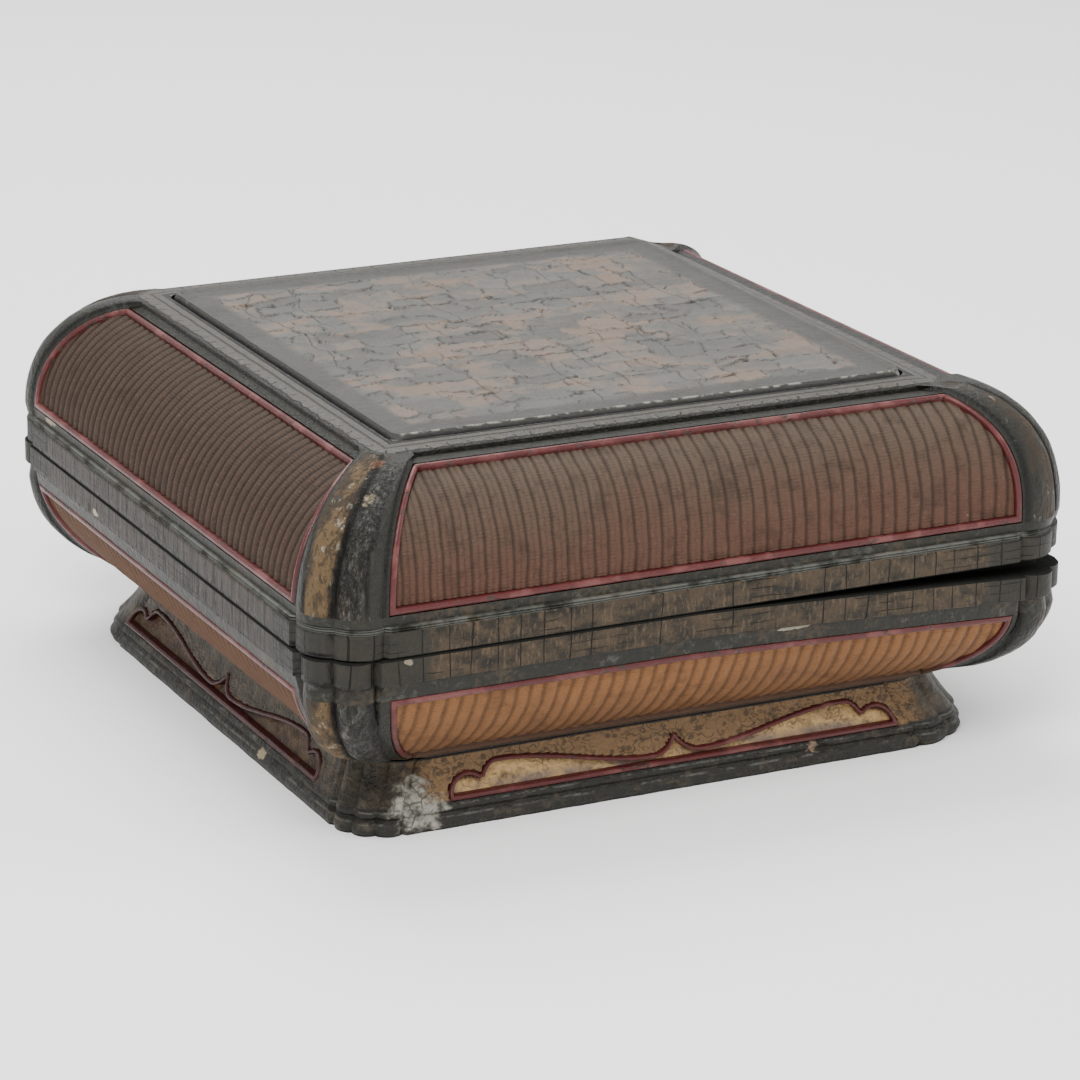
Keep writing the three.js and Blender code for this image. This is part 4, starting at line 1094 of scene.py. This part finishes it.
def top_board():
    """Top board: a slab whose lacquer has split into rows of oblong flakes with curled edges.
    Rows run along x, each row's flakes have random lengths, and each flake cups and tilts."""
    rng = np.random.default_rng(7)
    n, row_count, flake_count, missing = 216, 41, 40, 0.18
    reach, flake_room = BOARD - 1.0, 1.15
    x, y = np.meshgrid(np.linspace(-reach, reach, n), np.linspace(-reach, reach, n))
    points = np.stack([x.ravel(), y.ravel(), 0 * x.ravel()], axis=1)
    px = points[:, 0] + 3.5 * rough(points, 70, 41, 2) + 2.0 * rough(points, 14, 42, 3)
    py = points[:, 1] + 3.0 * rough(points, 60, 43, 2) + 2.1 * rough(points, 16, 44, 3)

    # The flake under each point: its row and column, and u and v across it from -1 to 1
    rows = np.cumsum(rng.uniform(6.5, 12.5, row_count - 1)) - 130
    row = np.searchsorted(rows, py)
    starts = rng.uniform(-140, -120, row_count)
    lengths = rng.uniform(9, 24, (row_count, flake_count))
    edges = starts[:, None] + np.cumsum(lengths, axis=1)
    column = np.sum(edges[row] < px[:, None], axis=1)
    left = np.where(column > 0, edges[row, np.maximum(column - 1, 0)], starts[row])
    right = edges[row, np.minimum(column, flake_count - 1)]
    low = np.where(row > 0, rows[np.maximum(row - 1, 0)], rows[0] - 10)
    high = rows[np.minimum(row, row_count - 2)]
    u = np.clip((px - left) / (right - left), 0, 1) * 2 - 1
    v = np.clip((py - low) / (high - low), 0, 1) * 2 - 1
    near = np.minimum((1 - np.abs(u)) * (right - left) / 2, (1 - np.abs(v)) * (high - low) / 2)

    def per_flake(least):
        draws = rng.uniform(least, 1, (row_count, flake_count + 1))
        return draws[row, np.minimum(column, flake_count)]

    tile, tilt_u = per_flake(0), per_flake(-1)
    present = (per_flake(0) > missing).astype(float)
    tilt_v = per_flake(-1)
    edge = np.max(np.abs(points[:, :2]), axis=1)
    inner = 1 - smooth((edge - 88) / 3)
    patchy = smooth((rough(points, 22, 47) + 0.75) / 0.5)
    seam = (1 - smooth(near / 0.8)) * present * patchy
    cup = 0.75 * np.abs(v) ** 3 * (0.2 + tile) + 0.45 * np.abs(u) ** 3 * (1.2 - tile)
    cup += 0.5 * tilt_u * u + 0.45 * tilt_v * v - 0.6 * seam
    height = inner * present * cup + 0.1 * rough(points, 5, 45) + 0.12 * rough(points, 40, 46)
    bead = 0.6 * smooth((edge - 98.2) / 0.8) * (1 - smooth((edge - 100.3) / 0.7))
    fall = -1.3 * smooth((edge - 100.4) / 0.6)

    # Rounded corners: the square's corner points are pulled in to a quarter circle
    over = np.abs(points[:, :2]) - (BOARD - BOARD_CORNER)
    both = np.all(over > 0, axis=1)[:, None]
    pull = np.max(over, axis=1) / np.maximum(np.hypot(*over.T), 1e-6)
    rounded = np.sign(points[:, :2]) * (BOARD - BOARD_CORNER + over * pull[:, None])
    top = points.copy()
    top[:, :2] = np.where(both, rounded, points[:, :2])
    top[:, 2] = np.minimum(BOARD_TOP - flake_room + height + bead + fall, BOARD_TOP)
    under = top.copy()
    under[:, 2] = BOARD_TOP - BOARD_THICK
    under[:, :2] *= BOARD / reach - 0.004
    marks = {"seam": np.tile(seam * inner, 2), "tile": np.tile(tile * inner, 2)}
    make_piece("lid_top_board_finish", np.concatenate([top, under]), sheet_faces(n, n), ["board"],
               60, "lid_top_board", marks=marks)


def stage():
    """Pale floor, even light all round, a large soft key light, and the camera."""
    floor = bpy.data.meshes.new("floor")
    s = 30.0
    floor.from_pydata([(-s, -s, 0), (s, -s, 0), (s, s, 0), (-s, s, 0)], [], [(0, 1, 2, 3)])
    material = bpy.data.materials.new("pale_floor")
    material.use_nodes = True
    shader = material.node_tree.nodes["Principled BSDF"]
    shader.inputs["Base Color"].default_value = (0.93, 0.93, 0.93, 1)
    shader.inputs["Roughness"].default_value = 0.9
    shader.inputs["Specular IOR Level"].default_value = 0.1
    floor.materials.append(material)
    piece = bpy.data.objects.new("floor", floor)
    bpy.context.scene.collection.objects.link(piece)
    world = bpy.data.worlds.new("studio")
    bpy.context.scene.world = world
    world.use_nodes = True
    sky = world.node_tree.nodes["Background"]
    sky.inputs["Color"].default_value = (1, 1, 1, 1)
    sky.inputs["Strength"].default_value = 1.0
    for name, place, aim, size, power in (
        ("key", (-0.9, -0.9, 1.5), (0, 0, 0.07), 1.0, 40),
        ("fill", (1.4, -0.9, 0.9), (0, 0, 0.07), 1.2, 14),
        ("top", (0.1, 0.9, 1.7), (0, 0, 0.1), 1.2, 36),
    ):
        data = bpy.data.lights.new(name, "AREA")
        data.size, data.energy = size, power
        light = bpy.data.objects.new(name, data)
        bpy.context.scene.collection.objects.link(light)
        light.location = place
        way = Vector(aim) - light.location
        light.rotation_euler = way.to_track_quat("-Z", "Y").to_euler()
    azimuth, elevation, roll = radians(-26.82), radians(18.54), radians(0.973)
    back = np.array([sin(azimuth) * cos(elevation), -cos(azimuth) * cos(elevation), sin(elevation)])
    right = np.array([cos(azimuth), sin(azimuth), 0.0])
    up = np.cross(back, right)
    c, s = cos(roll), sin(roll)
    axes = np.stack([c * right + s * up, c * up - s * right, back], axis=1)
    camera_data = bpy.data.cameras.new("camera")
    camera_data.lens, camera_data.sensor_width = 147.07, 36
    camera_data.clip_start, camera_data.clip_end = 0.05, 100
    camera = bpy.data.objects.new("camera", camera_data)
    bpy.context.scene.collection.objects.link(camera)
    matrix = Matrix([list(row) + [0] for row in axes] + [[0, 0, 0, 1]])
    matrix.translation = (-0.7021, -1.4015, 0.5793)
    camera.matrix_world = matrix
    bpy.context.scene.camera = camera


def colour_setting(name, description, default):
    return bpy.props.FloatVectorProperty(
        name=name, description=description, default=default, size=3, subtype="COLOR", min=0, max=1)


def pitch_setting(name, description, default):
    return bpy.props.FloatProperty(
        name=name, description=description, default=default * MM, unit="LENGTH",
        subtype="DISTANCE")


class BoxSettings(bpy.types.PropertyGroup):
    lid_rib_pitch: pitch_setting("Lid rib pitch", "Distance between the lid's ribs", 5.14)
    base_rib_pitch: pitch_setting("Base rib pitch", "Distance between the base's ribs", 5.29)
    worn_lacquer: colour_setting(
        "Black lacquer", "Lighter tone of the black lacquer", (0.023, 0.0225, 0.017))
    red_lacquer: colour_setting(
        "Red lacquer", "Brighter tone of the red fillets", (0.1, 0.017, 0.016))
    lid_basketry: colour_setting(
        "Lid basketry", "Tone of the lid's panels near the rim", (0.07, 0.033, 0.0215))
    base_basketry: colour_setting(
        "Base basketry", "Tone of the base's panels near the rim", (0.195, 0.088, 0.034))
    board_gilding: colour_setting(
        "Board gilding", "Worn gilding on the top board", (0.18, 0.125, 0.09))
    foot_ochre: colour_setting("Foot field", "Ochre of the foot's field", (0.215, 0.125, 0.056))
    foot_gilding: colour_setting(
        "Foot gilding", "Gilding of the foot's sunk panels", (0.46, 0.3, 0.13))


class BOX_OT_stage(bpy.types.Operator):
    """Adds the floor, the lights and the camera"""

    bl_idname = "lacquer_box.stage"
    bl_label = "Stage"

    def execute(self, context):
        stage()
        return {"FINISHED"}


class BOX_OT_foot(bpy.types.Operator):
    """Builds the foot and its four cusped beads"""

    bl_idname = "lacquer_box.foot"
    bl_label = "Foot"

    def execute(self, context):
        foot_frame()
        for turn in range(4):
            cusp_bead(turn)
        return {"FINISHED"}


class BOX_OT_base(bpy.types.Operator):
    """Builds the base frame with its basketry panels and fillets"""

    bl_idname = "lacquer_box.base"
    bl_label = "Base"

    def execute(self, context):
        base_frame()
        pitch = context.scene.lacquer_box.base_rib_pitch / MM
        panels("base", base_side, BASE_END, BASE_SPAN, sag, pitch, (0.12, 0.1, 0.15, 0.1), 30, 60)
        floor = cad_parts["base_floor"].data.materials
        floor.clear()
        floor.append(finish_of("lacquer"))
        return {"FINISHED"}


class BOX_OT_lid(bpy.types.Operator):
    """Builds the lid frame with its basketry panels and fillets"""

    bl_idname = "lacquer_box.lid"
    bl_label = "Lid"

    def execute(self, context):
        lid_frame()
        pitch = context.scene.lacquer_box.lid_rib_pitch / MM
        panels("lid", lid_side, LID_END, LID_SPAN, settle, pitch, (0.66, 0.15, 0.3, 0.1), 40, 50)
        return {"FINISHED"}


class BOX_OT_board(bpy.types.Operator):
    """Builds the crackled top board"""

    bl_idname = "lacquer_box.board"
    bl_label = "Top board"

    def execute(self, context):
        top_board()
        return {"FINISHED"}


class BOX_PT_panel(bpy.types.Panel):
    """Lists the box's pieces"""

    bl_idname = "BOX_PT_panel"
    bl_label = "Lacquer box"
    bl_space_type = "VIEW_3D"
    bl_region_type = "UI"
    bl_category = "Lacquer box"

    def draw(self, context):
        column = self.layout.column()
        for name in BoxSettings.__annotations__:
            column.prop(context.scene.lacquer_box, name)
        for operator in OPERATORS:
            column.operator(operator.bl_idname)


OPERATORS = (BOX_OT_stage, BOX_OT_foot, BOX_OT_base, BOX_OT_lid, BOX_OT_board)
CLASSES = (BoxSettings, *OPERATORS, BOX_PT_panel)


def register():
    for item in CLASSES:
        bpy.utils.register_class(item)
    bpy.types.Scene.lacquer_box = bpy.props.PointerProperty(type=BoxSettings)


def unregister():
    del bpy.types.Scene.lacquer_box
    for item in reversed(CLASSES):
        bpy.utils.unregister_class(item)


def main():
    register()
    bpy.ops.lacquer_box.stage()
    bpy.ops.lacquer_box.foot()
    bpy.ops.lacquer_box.base()
    bpy.ops.lacquer_box.lid()
    bpy.ops.lacquer_box.board()


if __name__ == "__main__":
    main()
